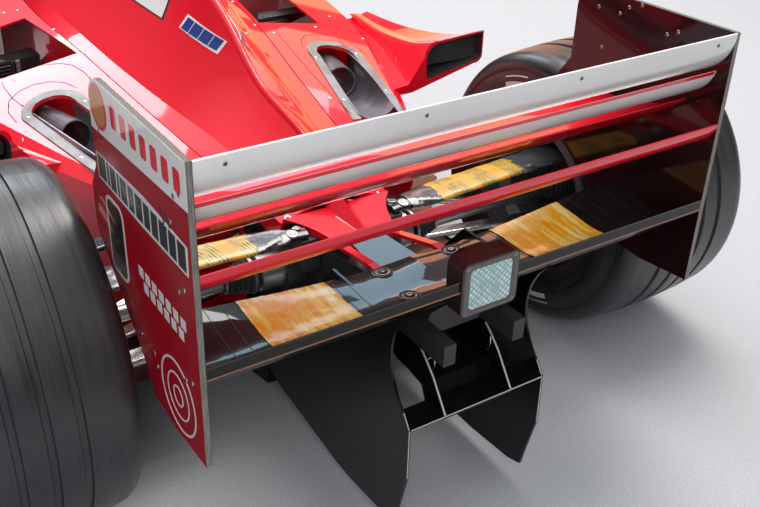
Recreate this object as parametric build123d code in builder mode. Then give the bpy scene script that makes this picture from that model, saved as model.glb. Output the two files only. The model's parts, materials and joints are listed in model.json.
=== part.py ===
"""Open wheel racing car with a high nose, grooved tyres and a two tier rear wing.

The car faces -Y, +X is its left hand side and +Z is up. The origin is on the ground, under the
middle of the car's length. Lengths are in millimetres.
"""

import os
from math import cos, radians, sin
from typing import NamedTuple

from build123d import *

os.makedirs("parts", exist_ok=True)

# Driving dimensions of the whole car
WHEELBASE = 3010.0
NOSE_OVERHANG = 895.0
TAIL_OVERHANG = 485.0
LENGTH = NOSE_OVERHANG + WHEELBASE + TAIL_OVERHANG
FRONT_AXLE_Y = NOSE_OVERHANG - LENGTH / 2
REAR_AXLE_Y = LENGTH / 2 - TAIL_OVERHANG
TAIL_Y = LENGTH / 2
NOSE_Y = -LENGTH / 2
BODY_HALF = 700.0
RIDE_HEIGHT = 25.0
STEP_HEIGHT = 50.0
FLOOR_SKIN = 6.0
FLOOR_TOP = RIDE_HEIGHT + STEP_HEIGHT + FLOOR_SKIN
SKIN = 6.0
SEAM = 3.0
SEAT_GAP = 0.3
RUNNING_GAP = 0.1

# Wheels
FRONT_TRACK = 1490.0
FRONT_TYRE_RADIUS = 320.0
FRONT_TYRE_WIDTH = 305.0
REAR_TRACK = 1405.0
REAR_TYRE_RADIUS = 325.0
REAR_TYRE_WIDTH = 368.0
TYRE_WALL = 14.0
TREAD_DEPTH = 22.0
GROOVES = 4
GROOVE_PITCH = 50.0
GROOVE_WIDTH = 14.0
GROOVE_DEPTH = 5.0
BEAD_RADIUS = 165.0
RIM_WALL = 7.0
RIM_LIP = 13.0
SPOKES = 10
SPOKE_WIDTH = 26.0
SPOKE_DEPTH = 22.0
HUB_RADIUS = 62.0
NUT_RADIUS = 34.0
DISC_RADIUS = 128.0
DISC_THICKNESS = 26.0
CALIPER_RADIUS = 139.0
AXLE_RADIUS = 22.0
SHAFT_RADIUS = 16.0
UPRIGHT_DEPTH = 46.0
CALIPER_GAP = 5.0

# Steering
KINGPIN_X = 640.0
KINGPIN_RISE = 108.0
STEER_ARM = 80.0
RACK_Z = 385.0
RACK_HALF = 185.0
RACK_RADIUS = 12.0
COLUMN_Y = -370.0
COLUMN_Z = 560.0
COLUMN_TILT = 18.0
COLUMN_RADIUS = 11.0


def rear(aft):
    """Station along the car, measured aft of the rear axle."""
    return REAR_AXLE_Y + aft


def front(aft):
    """Station along the car, measured aft of the front axle."""
    return FRONT_AXLE_Y + aft


def cross_plane(y):
    """Upright plane across the car: local x is +X and local y is +Z."""
    return Plane(origin=(0, y, 0), x_dir=(1, 0, 0), z_dir=(0, -1, 0))


def side_plane(x):
    """Upright plane along the car: local x is +Y and local y is +Z."""
    return Plane(origin=(x, 0, 0), x_dir=(0, 1, 0), z_dir=(1, 0, 0))


def slope(rows, index, field):
    """Rate of change of one field along the rows, level where the field turns back."""
    rates = [
        (rows[k + 1][field] - rows[k][field]) / (rows[k + 1].y - rows[k].y)
        for k in (index - 1, index) if 0 <= k < len(rows) - 1
    ]
    if len(rates) == 1:
        return rates[0]
    before, after = rates
    return 2 * before * after / (before + after) if before * after > 0 else 0.0


def fair(rows, steps=3):
    """The same rows with cubic ones between, so that a loft through them can't swing wide."""
    result = [rows[0]]
    for index, (first, last) in enumerate(zip(rows, rows[1:])):
        span = last.y - first.y
        for step in range(1, steps + 1):
            t = step / steps
            fields = [first.y + t * span]
            for field in range(1, len(first)):
                leave = slope(rows, index, field) * span
                arrive = slope(rows, index + 1, field) * span
                fields.append(
                    (2 * t ** 3 - 3 * t ** 2 + 1) * first[field] + (t ** 3 - 2 * t ** 2 + t) * leave
                    + (3 * t ** 2 - 2 * t ** 3) * last[field] + (t ** 3 - t ** 2) * arrive
                )
            result.append(type(first)(*fields))
    return result


class Ring(NamedTuple):
    """Cross section of a closed body: heights and half widths."""

    y: float
    floor: float
    sill: float
    belt: float
    waist: float
    deck: float
    shoulder: float
    crown: float


def hull(rings, wall=0.0):
    """Loft through rings; a wall shrinks each one, for the space inside."""
    with BuildPart() as body:
        for ring in rings:
            sill, waist, shoulder = (w - wall for w in (ring.sill, ring.waist, ring.shoulder))
            floor = ring.floor + wall
            deck, crown = ring.deck - wall, ring.crown - wall
            with BuildSketch(cross_plane(ring.y)):
                with BuildLine():
                    Polyline((-waist, ring.belt), (-sill, floor), (sill, floor), (waist, ring.belt))
                    Line((waist, ring.belt), (shoulder, deck))
                    ThreePointArc((shoulder, deck), (0, crown), (-shoulder, deck))
                    Line((-shoulder, deck), (-waist, ring.belt))
                make_face()
        loft()
    return body.part


class Spine(NamedTuple):
    """Cross section of the engine cover, from its seams up to its ridge."""

    y: float
    seam: float
    seam_z: float
    crease: float
    crease_z: float
    cap: float
    cap_z: float
    ridge_z: float


def cover_body(spines, wall=0.0, flange=45.0, hollow=0.0):
    """Loft of the engine cover; wall shrinks it and hollow is how far the flank dishes in."""
    with BuildPart() as body:
        for row in fair(spines):
            seam, crease, cap = row.seam - wall, row.crease - wall, max(row.cap - wall * 0.6, 2)
            seam_z, crease_z = row.seam_z - wall, row.crease_z - wall
            cap_z, ridge_z = row.cap_z - wall, row.ridge_z - wall
            foot = row.seam_z - flange
            pull = ((crease + cap) / 2 - hollow * (ridge_z - crease_z), (crease_z + cap_z) / 2)
            peak = 2 * ridge_z - cap_z
            with BuildSketch(cross_plane(row.y)):
                with BuildLine():
                    Polyline((-seam, seam_z), (-seam, foot), (seam, foot), (seam, seam_z), (crease, crease_z))
                    Bezier((crease, crease_z), pull, (cap, cap_z))
                    Bezier((cap, cap_z), (0, peak), (-cap, cap_z))
                    Bezier((-cap, cap_z), (-pull[0], pull[1]), (-crease, crease_z))
                    Line((-crease, crease_z), (-seam, seam_z))
                make_face()
        loft()
    return body.part


class Pod(NamedTuple):
    """Cross section of the left sidepod: x and z of its seam and of its outer crease."""

    y: float
    seam: float
    seam_z: float
    edge: float
    edge_z: float
    foot: float
    foot_z: float


def pod_body(pods, wall=0.0):
    """Loft of the left sidepod; a wall shrinks it, for the space inside."""
    with BuildPart() as body:
        for pod in fair(pods):
            inner, outer, foot = pod.seam + SEAM + wall, pod.edge - wall, pod.foot - wall
            inner_z, outer_z, foot_z = pod.seam_z - wall, pod.edge_z - wall, pod.foot_z + wall
            brow = (inner + 0.86 * (outer - inner), inner_z + 0.62 * (outer_z - inner_z))
            with BuildSketch(cross_plane(pod.y)):
                with BuildLine():
                    Polyline((brow[0], brow[1]), (inner, inner_z), (inner, foot_z), (foot, foot_z))
                    Line((foot, foot_z), (outer, outer_z - 40))
                    Line((outer, outer_z - 40), (outer - 6, outer_z - 8))
                    Line((outer - 6, outer_z - 8), brow)
                make_face()
        loft()
    return body.part


def foil(nose, tail, belly, depth, start, end, tail_edge=2.5):
    """Wing element from one station across the car to another, with its belly downwards."""
    chord = Vector(tail[0] - nose[0], tail[1] - nose[1])
    along = chord.normalized()
    up = Vector(-along.Y, along.X)
    lead, trail = Vector(*nose), Vector(*tail)
    middle = (lead + trail) * 0.5 - up * belly
    lip, edge = depth * 0.28, tail_edge / 2
    with BuildPart() as element:
        with BuildSketch(side_plane(start)):
            with BuildLine():
                ThreePointArc(lead + up * lip, middle + up * depth / 2, trail + up * edge)
                Line(trail + up * edge, trail - up * edge)
                ThreePointArc(trail - up * edge, middle - up * depth / 2, lead - up * lip)
                ThreePointArc(lead - up * lip, lead - along * lip, lead + up * lip)
            make_face()
        extrude(amount=end - start)
    return element.part


def strut(start, end, width, depth, spread=(0, 1, 0)):
    """Straight flat oval arm between two points, with its width laid along spread."""
    base, tip = Vector(*start), Vector(*end)
    plane = Plane(origin=base, x_dir=spread, z_dir=tip - base)
    with BuildPart() as arm:
        with BuildSketch(plane):
            SlotOverall(width, depth)
        extrude(amount=(tip - base).length)
    return arm.part


def blade(start, end, root, width, depth):
    """Arm with a lens shaped section that widens from its root over its first fifth."""
    base, tip = Vector(*start), Vector(*end)
    plane = Plane(origin=base, x_dir=(0, 1, 0), z_dir=tip - base)
    length = (tip - base).length
    with BuildPart() as arm:
        for offset, wide in ((0, root), (0.06 * length, root), (0.2 * length, width), (length, width)):
            with BuildSketch(plane.offset(offset)):
                Ellipse(wide / 2, depth / 2)
        loft(ruled=True)
    return arm.part


def wheel_plane(x, y, z):
    """Upright plane through a wheel's centre: local x points out of the car, local y up."""
    side = 1 if x > 0 else -1
    return Plane(origin=(x, y, z), x_dir=(side, 0, 0), z_dir=(0, -side, 0))


def axle_line(plane):
    """Axis of a wheel whose plane is given."""
    return Axis(origin=plane.origin, direction=plane.x_dir)


def tread_line(half, radius):
    """Outline of a grooved tread that stands 7 mm prouder in its middle than at its edges."""
    line = [(-half, radius - 7)]
    for groove in range(GROOVES):
        middle = (groove - (GROOVES - 1) / 2) * GROOVE_PITCH
        for offset, drop in (
            (-GROOVE_WIDTH / 2, 0), (-GROOVE_WIDTH / 2 + 2, GROOVE_DEPTH),
            (GROOVE_WIDTH / 2 - 2, GROOVE_DEPTH), (GROOVE_WIDTH / 2, 0),
        ):
            x = middle + offset
            line.append((x, radius - 7 * (x / half) ** 2 - drop))
    line.insert(len(line) // 2 + 1, (0, radius))
    return line + [(half, radius - 7)]


def tyre_body(plane, radius, width):
    """Hollow tyre with rounded shoulders on its bead seats."""
    half, bead_half = width / 2, width / 2 - 16
    shoulder, crown = radius - 46, radius - 7
    inner_bead = bead_half - TYRE_WALL
    with BuildPart() as tyre:
        with BuildSketch(plane):
            with BuildLine():
                Line((-bead_half, BEAD_RADIUS), (-bead_half, BEAD_RADIUS + 18))
                ThreePointArc((-bead_half, BEAD_RADIUS + 18), (-half, radius - 88), (-half + 8, shoulder))
                ThreePointArc((-half + 8, shoulder), (-half + 20, crown - 11), (-half + 46, crown))
                tread = tread_line(half - 46, radius)
                Polyline(*tread)
                ThreePointArc((half - 46, crown), (half - 20, crown - 11), (half - 8, shoulder))
                ThreePointArc((half - 8, shoulder), (half, radius - 88), (bead_half, BEAD_RADIUS + 18))
                Polyline((bead_half, BEAD_RADIUS + 18), (bead_half, BEAD_RADIUS), (inner_bead, BEAD_RADIUS))
                Line((inner_bead, BEAD_RADIUS), (half - TYRE_WALL - 4, radius - 88))
                Line((half - TYRE_WALL - 4, radius - 88), (half - 50, radius - TREAD_DEPTH - 7))
                Line((half - 50, radius - TREAD_DEPTH - 7), (-half + 50, radius - TREAD_DEPTH - 7))
                Line((-half + 50, radius - TREAD_DEPTH - 7), (-half + TYRE_WALL + 4, radius - 88))
                Line((-half + TYRE_WALL + 4, radius - 88), (-inner_bead, BEAD_RADIUS))
                Line((-inner_bead, BEAD_RADIUS), (-bead_half, BEAD_RADIUS))
            make_face()
        revolve(axis=axle_line(plane))
    return tyre.part


def rim_body(plane, width, face):
    """Open barrel with ten spokes and a hub; face is how far out the spokes stand."""
    half = width / 2 - 16
    drop = BEAD_RADIUS - 12
    with BuildPart() as rim:
        with BuildSketch(plane):
            with BuildLine():
                Polyline(
                    (-half - 7, BEAD_RADIUS + RIM_LIP), (-half - 0.3, BEAD_RADIUS + RIM_LIP),
                    (-half - 0.3, BEAD_RADIUS - 0.3), (-half + 34, BEAD_RADIUS - 0.3), (-half + 60, drop),
                    (half - 60, drop), (half - 34, BEAD_RADIUS - 0.3), (half + 0.3, BEAD_RADIUS - 0.3),
                    (half + 0.3, BEAD_RADIUS + RIM_LIP), (half + 7, BEAD_RADIUS + RIM_LIP),
                    (half + 7, BEAD_RADIUS - RIM_WALL), (half - 36, BEAD_RADIUS - RIM_WALL),
                    (half - 62, drop - RIM_WALL), (-half + 62, drop - RIM_WALL),
                    (-half + 36, BEAD_RADIUS - RIM_WALL), (-half - 7, BEAD_RADIUS - RIM_WALL),
                    close=True,
                )
            make_face()
        revolve(axis=axle_line(plane))
        with BuildSketch(plane):
            with BuildLine():
                Polyline(
                    (face - 34, 30), (face - 34, HUB_RADIUS), (face - 10, HUB_RADIUS + 8),
                    (face + 4, HUB_RADIUS - 6), (face + 4, 30), close=True,
                )
            make_face()
        revolve(axis=axle_line(plane))
        spoke_plane = Plane(
            origin=plane.origin + plane.x_dir * (face - 10 - SPOKE_DEPTH),
            x_dir=(0, 1, 0), z_dir=plane.x_dir,
        )
        reach = drop - RIM_WALL / 2
        with BuildSketch(spoke_plane):
            with PolarLocations(0, SPOKES):
                with Locations(((HUB_RADIUS + reach) / 2, 0)):
                    Rectangle(reach - HUB_RADIUS + 4, SPOKE_WIDTH)
        extrude(amount=SPOKE_DEPTH)
    return rim.part


def save(piece, name):
    """Label a finished piece and write it as one STEP file."""
    piece.label = name
    export_step(piece, f"parts/{name}.step")


def both_sides(piece):
    """The left hand piece and its mirror image on the right."""
    return [piece, piece.mirror(Plane.YZ)]


# Monocoque: hollow tub from the nose joint to the engine, with the cockpit cut in its top
BULKHEAD_Y = front(-130)
ENGINE_FRONT = rear(-1050)
TUB_RINGS = [
    Ring(BULKHEAD_Y, 322, 130, 430, 165, 560, 135, 592),
    Ring(front(300), 225, 170, 420, 215, 600, 165, 640),
    Ring(front(820), FLOOR_TOP, 225, 400, 272, 640, 210, 684),
    Ring(front(1460), FLOOR_TOP, 235, 400, 262, 640, 208, 672),
    Ring(ENGINE_FRONT, FLOOR_TOP, 225, 380, 250, 500, 205, 520),
]
COCKPIT_FRONT = front(860)
COCKPIT_REAR = front(1500)
COCKPIT_HALF = 200.0
COCKPIT_CORNER = 120.0
TUB_WALL = 24.0
COCKPIT_JOINT = 2
FOOTWELL = [TUB_RINGS[1]._replace(y=front(420)), TUB_RINGS[2]]
CABIN = [TUB_RINGS[2], TUB_RINGS[3]]
FUEL_CELL = [TUB_RINGS[3]._replace(y=front(1560), crown=560, deck=540), TUB_RINGS[4]._replace(y=ENGINE_FRONT - 24)]
column_plane = Plane(
    origin=(0, COLUMN_Y, COLUMN_Z), x_dir=(-1, 0, 0),
    z_dir=(0, cos(radians(COLUMN_TILT)), sin(radians(COLUMN_TILT))),
)
DASH_Y = front(770)
DASH_DEPTH = 16.0

with BuildPart() as monocoque:
    add(hull(TUB_RINGS[:COCKPIT_JOINT + 1]))
    add(hull(TUB_RINGS[COCKPIT_JOINT:]))
    add(hull(FOOTWELL, wall=TUB_WALL), mode=Mode.SUBTRACT)
    add(hull(CABIN, wall=TUB_WALL), mode=Mode.SUBTRACT)
    add(hull(FUEL_CELL, wall=TUB_WALL), mode=Mode.SUBTRACT)
    with BuildSketch(Plane.XY.offset(420)):
        with Locations((0, (COCKPIT_FRONT + COCKPIT_REAR) / 2)):
            RectangleRounded(2 * COCKPIT_HALF, COCKPIT_REAR - COCKPIT_FRONT, COCKPIT_CORNER)
    extrude(amount=400, mode=Mode.SUBTRACT)
    with BuildSketch(cross_plane(DASH_Y)):
        Polygon((-215, 380), (215, 380), (190, 640), (-190, 640), align=None)
    extrude(amount=-DASH_DEPTH)
    with BuildSketch(column_plane):
        Circle(COLUMN_RADIUS + RUNNING_GAP)
    extrude(amount=-320, mode=Mode.SUBTRACT)
    with BuildSketch(Plane(origin=(0, front(-STEER_ARM), RACK_Z), z_dir=(1, 0, 0))):
        Circle(RACK_RADIUS + RUNNING_GAP)
    extrude(amount=300, both=True, mode=Mode.SUBTRACT)
save(monocoque.part, "monocoque")

# Nose cone
NOSE_RINGS = [
    Ring(NOSE_Y, 262, 42, 292, 58, 318, 40, 330),
    Ring(front(-560), 290, 85, 350, 112, 425, 88, 448),
    Ring(BULKHEAD_Y, 322, 130, 430, 165, 560, 135, 592),
]
with BuildPart() as nose_cone:
    add(hull(NOSE_RINGS))
    nose_tip = nose_cone.faces().sort_by(Axis.Y)[0]
    chamfer(nose_tip.edges(), 8)
save(nose_cone.part, "nose_cone")

# Front wing
FRONT_WING_HALF = 692.0
FRONT_PLATE = 8.0
with BuildPart() as front_wing_main:
    add(foil((NOSE_Y + 45, 128), (front(-530), 118), 22, 22, -FRONT_WING_HALF, FRONT_WING_HALF))
    for side in (-1, 1):
        with BuildSketch(side_plane(side * 62 - 4)):
            Polygon(
                (NOSE_Y + 95, 116), (NOSE_Y + 300, 108), (NOSE_Y + 330, 330), (NOSE_Y + 150, 315),
                align=None,
            )
        extrude(amount=8)
    add(nose_cone.part, mode=Mode.SUBTRACT)
front_wing_solid = front_wing_main.part.solids().sort_by(SortBy.VOLUME)[-1]
save(front_wing_solid, "front_wing_main")

with BuildPart() as front_wing_flaps:
    for left, right in ((110, FRONT_WING_HALF), (-FRONT_WING_HALF, -110)):
        add(foil((front(-560), 134), (front(-445), 196), 14, 10, left, right))
        add(foil((front(-466), 196), (front(-400), 262), 8, 7, left, right))
save(front_wing_flaps.part, "front_wing_flaps")

with BuildPart() as front_plate:
    with BuildSketch(side_plane(FRONT_WING_HALF)):
        with BuildLine():
            Polyline(
                (NOSE_Y + 20, 190), (NOSE_Y + 8, 80), (front(-420), 72), (front(-372), 110),
                (front(-372), 275), (front(-470), 275),
            )
            ThreePointArc((front(-470), 275), (front(-720), 255), (NOSE_Y + 20, 190))
        make_face()
    extrude(amount=FRONT_PLATE)
    with BuildSketch(Plane.XY.offset(72)):
        with Locations((FRONT_WING_HALF - 22, (NOSE_Y + 60 + front(-420)) / 2)):
            Rectangle(48, front(-420) - NOSE_Y - 60)
    extrude(amount=6)
front_wing_endplates = Compound(children=both_sides(front_plate.part))
save(front_wing_endplates, "front_wing_endplates")

# Engine cover with its airbox, ridge and tail
SPINES = [
    Spine(front(1470), 262, 610, 200, 708, 70, 896, 950),
    Spine(rear(-1150), 262, 578, 232, 612, 42, 850, 880),
    Spine(rear(-800), 238, 553, 205, 563, 22, 782, 800),
    Spine(rear(-513), 200, 507, 160, 517, 14, 705, 720),
    Spine(rear(-293), 170, 474, 118, 486, 10, 577, 588),
    Spine(rear(-117), 140, 450, 98, 460, 8, 533, 543),
    Spine(rear(12), 125, 428, 82, 440, 8, 470, 480),
]
INNER_SPINES = [SPINES[0]._replace(y=SPINES[0].y + SKIN)] + SPINES[1:]
with BuildPart() as engine_cover:
    add(cover_body(SPINES, hollow=0.12))
    add(cover_body(INNER_SPINES, wall=SKIN, flange=60, hollow=0.12), mode=Mode.SUBTRACT)
    with BuildSketch(cross_plane(SPINES[0].y - 1)):
        with BuildLine():
            Polyline((-60, 890), (-104, 790), (-80, 762), (80, 762), (104, 790), (60, 890))
            ThreePointArc((60, 890), (0, 936), (-60, 890))
        make_face()
    extrude(amount=-40, mode=Mode.SUBTRACT)
    add(monocoque.part, mode=Mode.SUBTRACT)
engine_cover_solid = engine_cover.part.solids().sort_by(SortBy.VOLUME)[-1]
save(engine_cover_solid, "engine_cover")

# Floor, with the lower reference plane along its middle
FLOOR_FRONT = front(700)
FLOOR_REAR = rear(-330)
STEP_HALF = 250.0
FENCE_X = 146.0
FENCE_SKIN = 5.0
BELL_HALF = 73.0
with BuildPart() as floor:
    with BuildSketch(Plane.XY.offset(RIDE_HEIGHT + STEP_HEIGHT)):
        Polygon(
            (-STEP_HALF, FLOOR_FRONT), (STEP_HALF, FLOOR_FRONT), (STEP_HALF, front(960)),
            (BODY_HALF - 30, front(1060)), (BODY_HALF, front(1200)), (BODY_HALF, rear(-560)),
            (500, FLOOR_REAR), (-500, FLOOR_REAR), (-BODY_HALF, rear(-560)), (-BODY_HALF, front(1200)),
            (-BODY_HALF + 30, front(1060)), (-STEP_HALF, front(960)), align=None,
        )
    extrude(amount=FLOOR_SKIN)
    with BuildSketch(Plane.XY.offset(RIDE_HEIGHT)):
        Polygon(
            (-STEP_HALF, FLOOR_FRONT + 40), (-STEP_HALF + 90, FLOOR_FRONT), (STEP_HALF - 90, FLOOR_FRONT),
            (STEP_HALF, FLOOR_FRONT + 40), (STEP_HALF, rear(-600)), (FENCE_X, rear(-20)),
            (-FENCE_X, rear(-20)), (-STEP_HALF, rear(-600)), align=None,
        )
    extrude(amount=STEP_HEIGHT)
save(floor.part, "floor")

PLANK_HALF = 150.0
PLANK_DEPTH = 10.0
with BuildPart() as plank:
    with BuildSketch(Plane.XY.offset(RIDE_HEIGHT - PLANK_DEPTH)):
        Polygon(
            (-PLANK_HALF + 60, FLOOR_FRONT + 30), (PLANK_HALF - 60, FLOOR_FRONT + 30),
            (PLANK_HALF, FLOOR_FRONT + 110), (PLANK_HALF, rear(-340)), (-PLANK_HALF, rear(-340)),
            (-PLANK_HALF, FLOOR_FRONT + 110), align=None,
        )
    extrude(amount=PLANK_DEPTH)
save(plank.part, "plank")

# Engine and gearbox, with the crash structure that carries the lower rear wing
ENGINE_REAR = rear(-430)
with BuildPart() as engine:
    with BuildSketch(Plane(origin=(0, ENGINE_FRONT, 0), x_dir=(1, 0, 0), z_dir=(0, -1, 0))):
        Polygon(
            (-150, FLOOR_TOP), (150, FLOOR_TOP), (150, 240), (180, 410), (110, 445), (-110, 445),
            (-180, 410), (-150, 240), align=None,
        )
    extrude(amount=-(ENGINE_REAR - ENGINE_FRONT))
save(engine.part, "engine")

CRASH_HALF = 66.0
DRIVE_FLANGE_X = 128.0
ARM_SEAT_Z = 417.0
PEG_X = 72.0
GEARBOX_RINGS = [
    Ring(ENGINE_REAR, FLOOR_TOP + 2, 130, 230, 160, 380, 130, 400),
    Ring(rear(-60), 150, 80, 260, 112, 372, 92, 395),
    Ring(rear(120), 262, 54, 330, 78, 390, 64, 405),
    Ring(rear(405), 380, 50, 396, CRASH_HALF, 424, 54, 432),
]
with BuildPart() as gearbox:
    add(hull(GEARBOX_RINGS))
    for side in (-1, 1):
        with BuildSketch(cross_plane(rear(330))):
            with Locations((side * PEG_X, 396)):
                Rectangle(24, 40)
        extrude(amount=-(TAIL_Y - rear(330)))
    with BuildSketch(Plane(origin=(0, REAR_AXLE_Y, REAR_TYRE_RADIUS), x_dir=(0, 1, 0), z_dir=(1, 0, 0))):
        Circle(48)
    extrude(amount=DRIVE_FLANGE_X, both=True)
    for side in (-1, 1):
        with Locations((side * 96, rear(56), (350 + ARM_SEAT_Z) / 2)):
            Box(36, 52, ARM_SEAT_Z - 350)
    add(floor.part, mode=Mode.SUBTRACT)
save(gearbox.part, "gearbox")

# Lower rear wing: a dished carbon plank whose leading edge rises towards the endplates
PLATE_X = 500.0
PLATE_SKIN = 10.0
WING_HALF = PLATE_X - PLATE_SKIN
LOWER_SKIN = 14.0
LOWER_STATIONS = (265, 300, 345, 400, 442, 480)
LOWER_HEIGHTS = {
    0: (447, 452, 451, 457, 481, 529),
    180: (449, 453, 452, 458, 481, 529),
    340: (465, 462, 457, 459, 482, 528),
    WING_HALF: (479, 474, 468, 464, 485, 526),
}


def lower_section(x, heights):
    """Section of the lower wing in an upright plane along the car."""
    top = [(rear(aft), z) for aft, z in zip(LOWER_STATIONS, heights)]
    skins = [LOWER_SKIN - 6] + [LOWER_SKIN] * (len(heights) - 2) + [LOWER_SKIN + 7]
    belly = [(y, z - skin) for (y, z), skin in zip(top, skins)]
    with BuildSketch(side_plane(x)) as section:
        with BuildLine():
            Spline(*top)
            Line(top[-1], belly[-1])
            Spline(*reversed(belly))
            Line(belly[0], top[0])
        make_face()
    return section.sketch


with BuildPart() as lower_half:
    for x, heights in LOWER_HEIGHTS.items():
        add(lower_section(x, heights))
    loft()
with BuildPart() as lower_wing:
    add(lower_half.part)
    mirror(lower_half.part, about=Plane.YZ)
save(lower_wing.part, "lower_wing")

# Upper rear wing: a main element and two flaps, and a thin blade across below them
with BuildPart() as rear_wing_main:
    add(foil((rear(150), 652), (rear(404), 699), 36, 26, -WING_HALF, WING_HALF))
save(rear_wing_main.part, "rear_wing_main")

with BuildPart() as rear_wing_flaps:
    add(foil((rear(372), 712), (rear(455), 766), 14, 12, -WING_HALF, WING_HALF))
    add(foil((rear(438), 770), (rear(481), 840), 9, 8, -WING_HALF, WING_HALF))
save(rear_wing_flaps.part, "rear_wing_flaps")

with BuildPart() as rear_wing_blade:
    add(foil((rear(455), 640), (rear(480), 676), 3, 6, -WING_HALF, WING_HALF))
save(rear_wing_blade.part, "rear_wing_blade")

with BuildPart() as rear_plate:
    with BuildSketch(side_plane(WING_HALF)):
        with BuildLine():
            Polyline(
                (rear(160), 840), (rear(480), 840), (rear(480), 358), (rear(366), 348),
                (rear(285), 355), (rear(250), 406), (rear(133), 510), (rear(80), 560), (rear(80), 640),
                (rear(115), 690), (rear(115), 795),
            )
            ThreePointArc((rear(115), 795), (rear(128), 827), (rear(160), 840))
        make_face()
    extrude(amount=PLATE_SKIN)
rear_wing_endplates = Compound(children=both_sides(rear_plate.part))
save(rear_wing_endplates, "rear_wing_endplates")

# Rain light on the lower wing's trailing edge
LIGHT_HALF = 57.0
LIGHT_DEPTH = 40.0
with BuildPart() as rain_light:
    with BuildSketch(cross_plane(TAIL_Y - 1)):
        with Locations((0, 509)):
            RectangleRounded(2 * LIGHT_HALF, 98, 12)
    extrude(amount=LIGHT_DEPTH)
    with BuildSketch(cross_plane(TAIL_Y - LIGHT_DEPTH)):
        with Locations((-4, 509)):
            RectangleRounded(2 * LIGHT_HALF - 22, 84, 30)
    extrude(amount=20)
    add(lower_wing.part, mode=Mode.SUBTRACT)
rain_light_solid = rain_light.part.solids().sort_by(SortBy.VOLUME)[-1]
save(rain_light_solid, "rain_light")

# Diffuser: side channels, a central tunnel between tall fences, and a strip across its tail
with BuildPart() as diffuser:
    with BuildSketch(side_plane(-500)):
        with BuildLine():
            ThreePointArc((FLOOR_REAR, FLOOR_TOP), (rear(-165), 104), (rear(0), 160))
            Polyline((rear(0), 160), (rear(0), 160 - FLOOR_SKIN))
            ThreePointArc((rear(0), 160 - FLOOR_SKIN), (rear(-165), 98), (FLOOR_REAR, FLOOR_TOP - FLOOR_SKIN))
            Line((FLOOR_REAR, FLOOR_TOP - FLOOR_SKIN), (FLOOR_REAR, FLOOR_TOP))
        make_face()
    extrude(amount=1000)
    with BuildSketch(Plane.XY.offset(40)):
        with Locations((0, rear(-165))):
            Rectangle(2 * FENCE_X, 340)
    extrude(amount=140, mode=Mode.SUBTRACT)
    for x in (-500, 500 - FENCE_SKIN):
        with BuildSketch(side_plane(x)):
            Polygon(
                (FLOOR_REAR, RIDE_HEIGHT + 20), (rear(0), RIDE_HEIGHT + 30), (rear(0), 160),
                (rear(-165), 104), (FLOOR_REAR, FLOOR_TOP), align=None,
            )
        extrude(amount=FENCE_SKIN)
    for x in (-FENCE_X, FENCE_X - FENCE_SKIN):
        with BuildSketch(side_plane(x)):
            with BuildLine():
                Polyline(
                    (FLOOR_REAR, FLOOR_TOP), (FLOOR_REAR, RIDE_HEIGHT + STEP_HEIGHT), (rear(-19), 75),
                    (rear(34), 57), (rear(265), 27), (rear(318), 27), (rear(424), 35), (rear(458), 45),
                    (rear(468), 93), (rear(485), 166), (rear(484), 268), (rear(466), 294),
                )
                ThreePointArc((rear(466), 294), (rear(426), 372), (rear(470), 490))
                Polyline(
                    (rear(470), 490), (rear(400), 452), (rear(240), 452), (rear(60), 240),
                    (rear(-60), 160), (FLOOR_REAR, FLOOR_TOP),
                )
            make_face()
        extrude(amount=FENCE_SKIN)
    with BuildSketch(side_plane(-FENCE_X + 1)):
        Polygon(
            (rear(433), 266), (rear(484), 266), (rear(484), 270), (rear(433), 270), align=None
        )
    extrude(amount=2 * FENCE_X - 2)
    with BuildSketch(side_plane(-BELL_HALF)):
        with BuildLine():
            ThreePointArc((rear(40), 196), (rear(160), 290), (rear(250), 335))
            Polyline(
                (rear(250), 335), (rear(345), 308), (rear(420), 296), (rear(433), 268), (rear(484), 268),
                (rear(484), 264), (rear(430), 264), (rear(417), 292), (rear(345), 304), (rear(250), 331),
            )
            ThreePointArc((rear(250), 331), (rear(160), 286), (rear(40), 192))
            Line((rear(40), 192), (rear(40), 196))
        make_face()
    extrude(amount=2 * BELL_HALF)
    for x in (-BELL_HALF, BELL_HALF - FENCE_SKIN):
        with BuildSketch(side_plane(x)):
            Polygon(
                (rear(250), 330), (rear(345), 300), (rear(428), 298), (rear(431), 266), (rear(484), 266),
                (rear(484), 271), (rear(445), 325), (rear(420), 350), (rear(404), 363), (rear(250), 346),
                align=None,
            )
        extrude(amount=FENCE_SKIN)
    with BuildSketch(side_plane(-FENCE_X + 1)):
        with BuildLine():
            ThreePointArc((rear(-160), 120), (rear(-50), 140), (rear(45), 196))
            Line((rear(45), 196), (rear(45), 191))
            ThreePointArc((rear(45), 191), (rear(-50), 135), (rear(-160), 115))
            Line((rear(-160), 115), (rear(-160), 120))
        make_face()
    extrude(amount=2 * FENCE_X - 2)
    add(lower_wing.part, mode=Mode.SUBTRACT)
    add(gearbox.part, mode=Mode.SUBTRACT)
diffuser_solid = diffuser.part.solids().sort_by(SortBy.VOLUME)[-1]
save(diffuser_solid, "diffuser")

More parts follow.
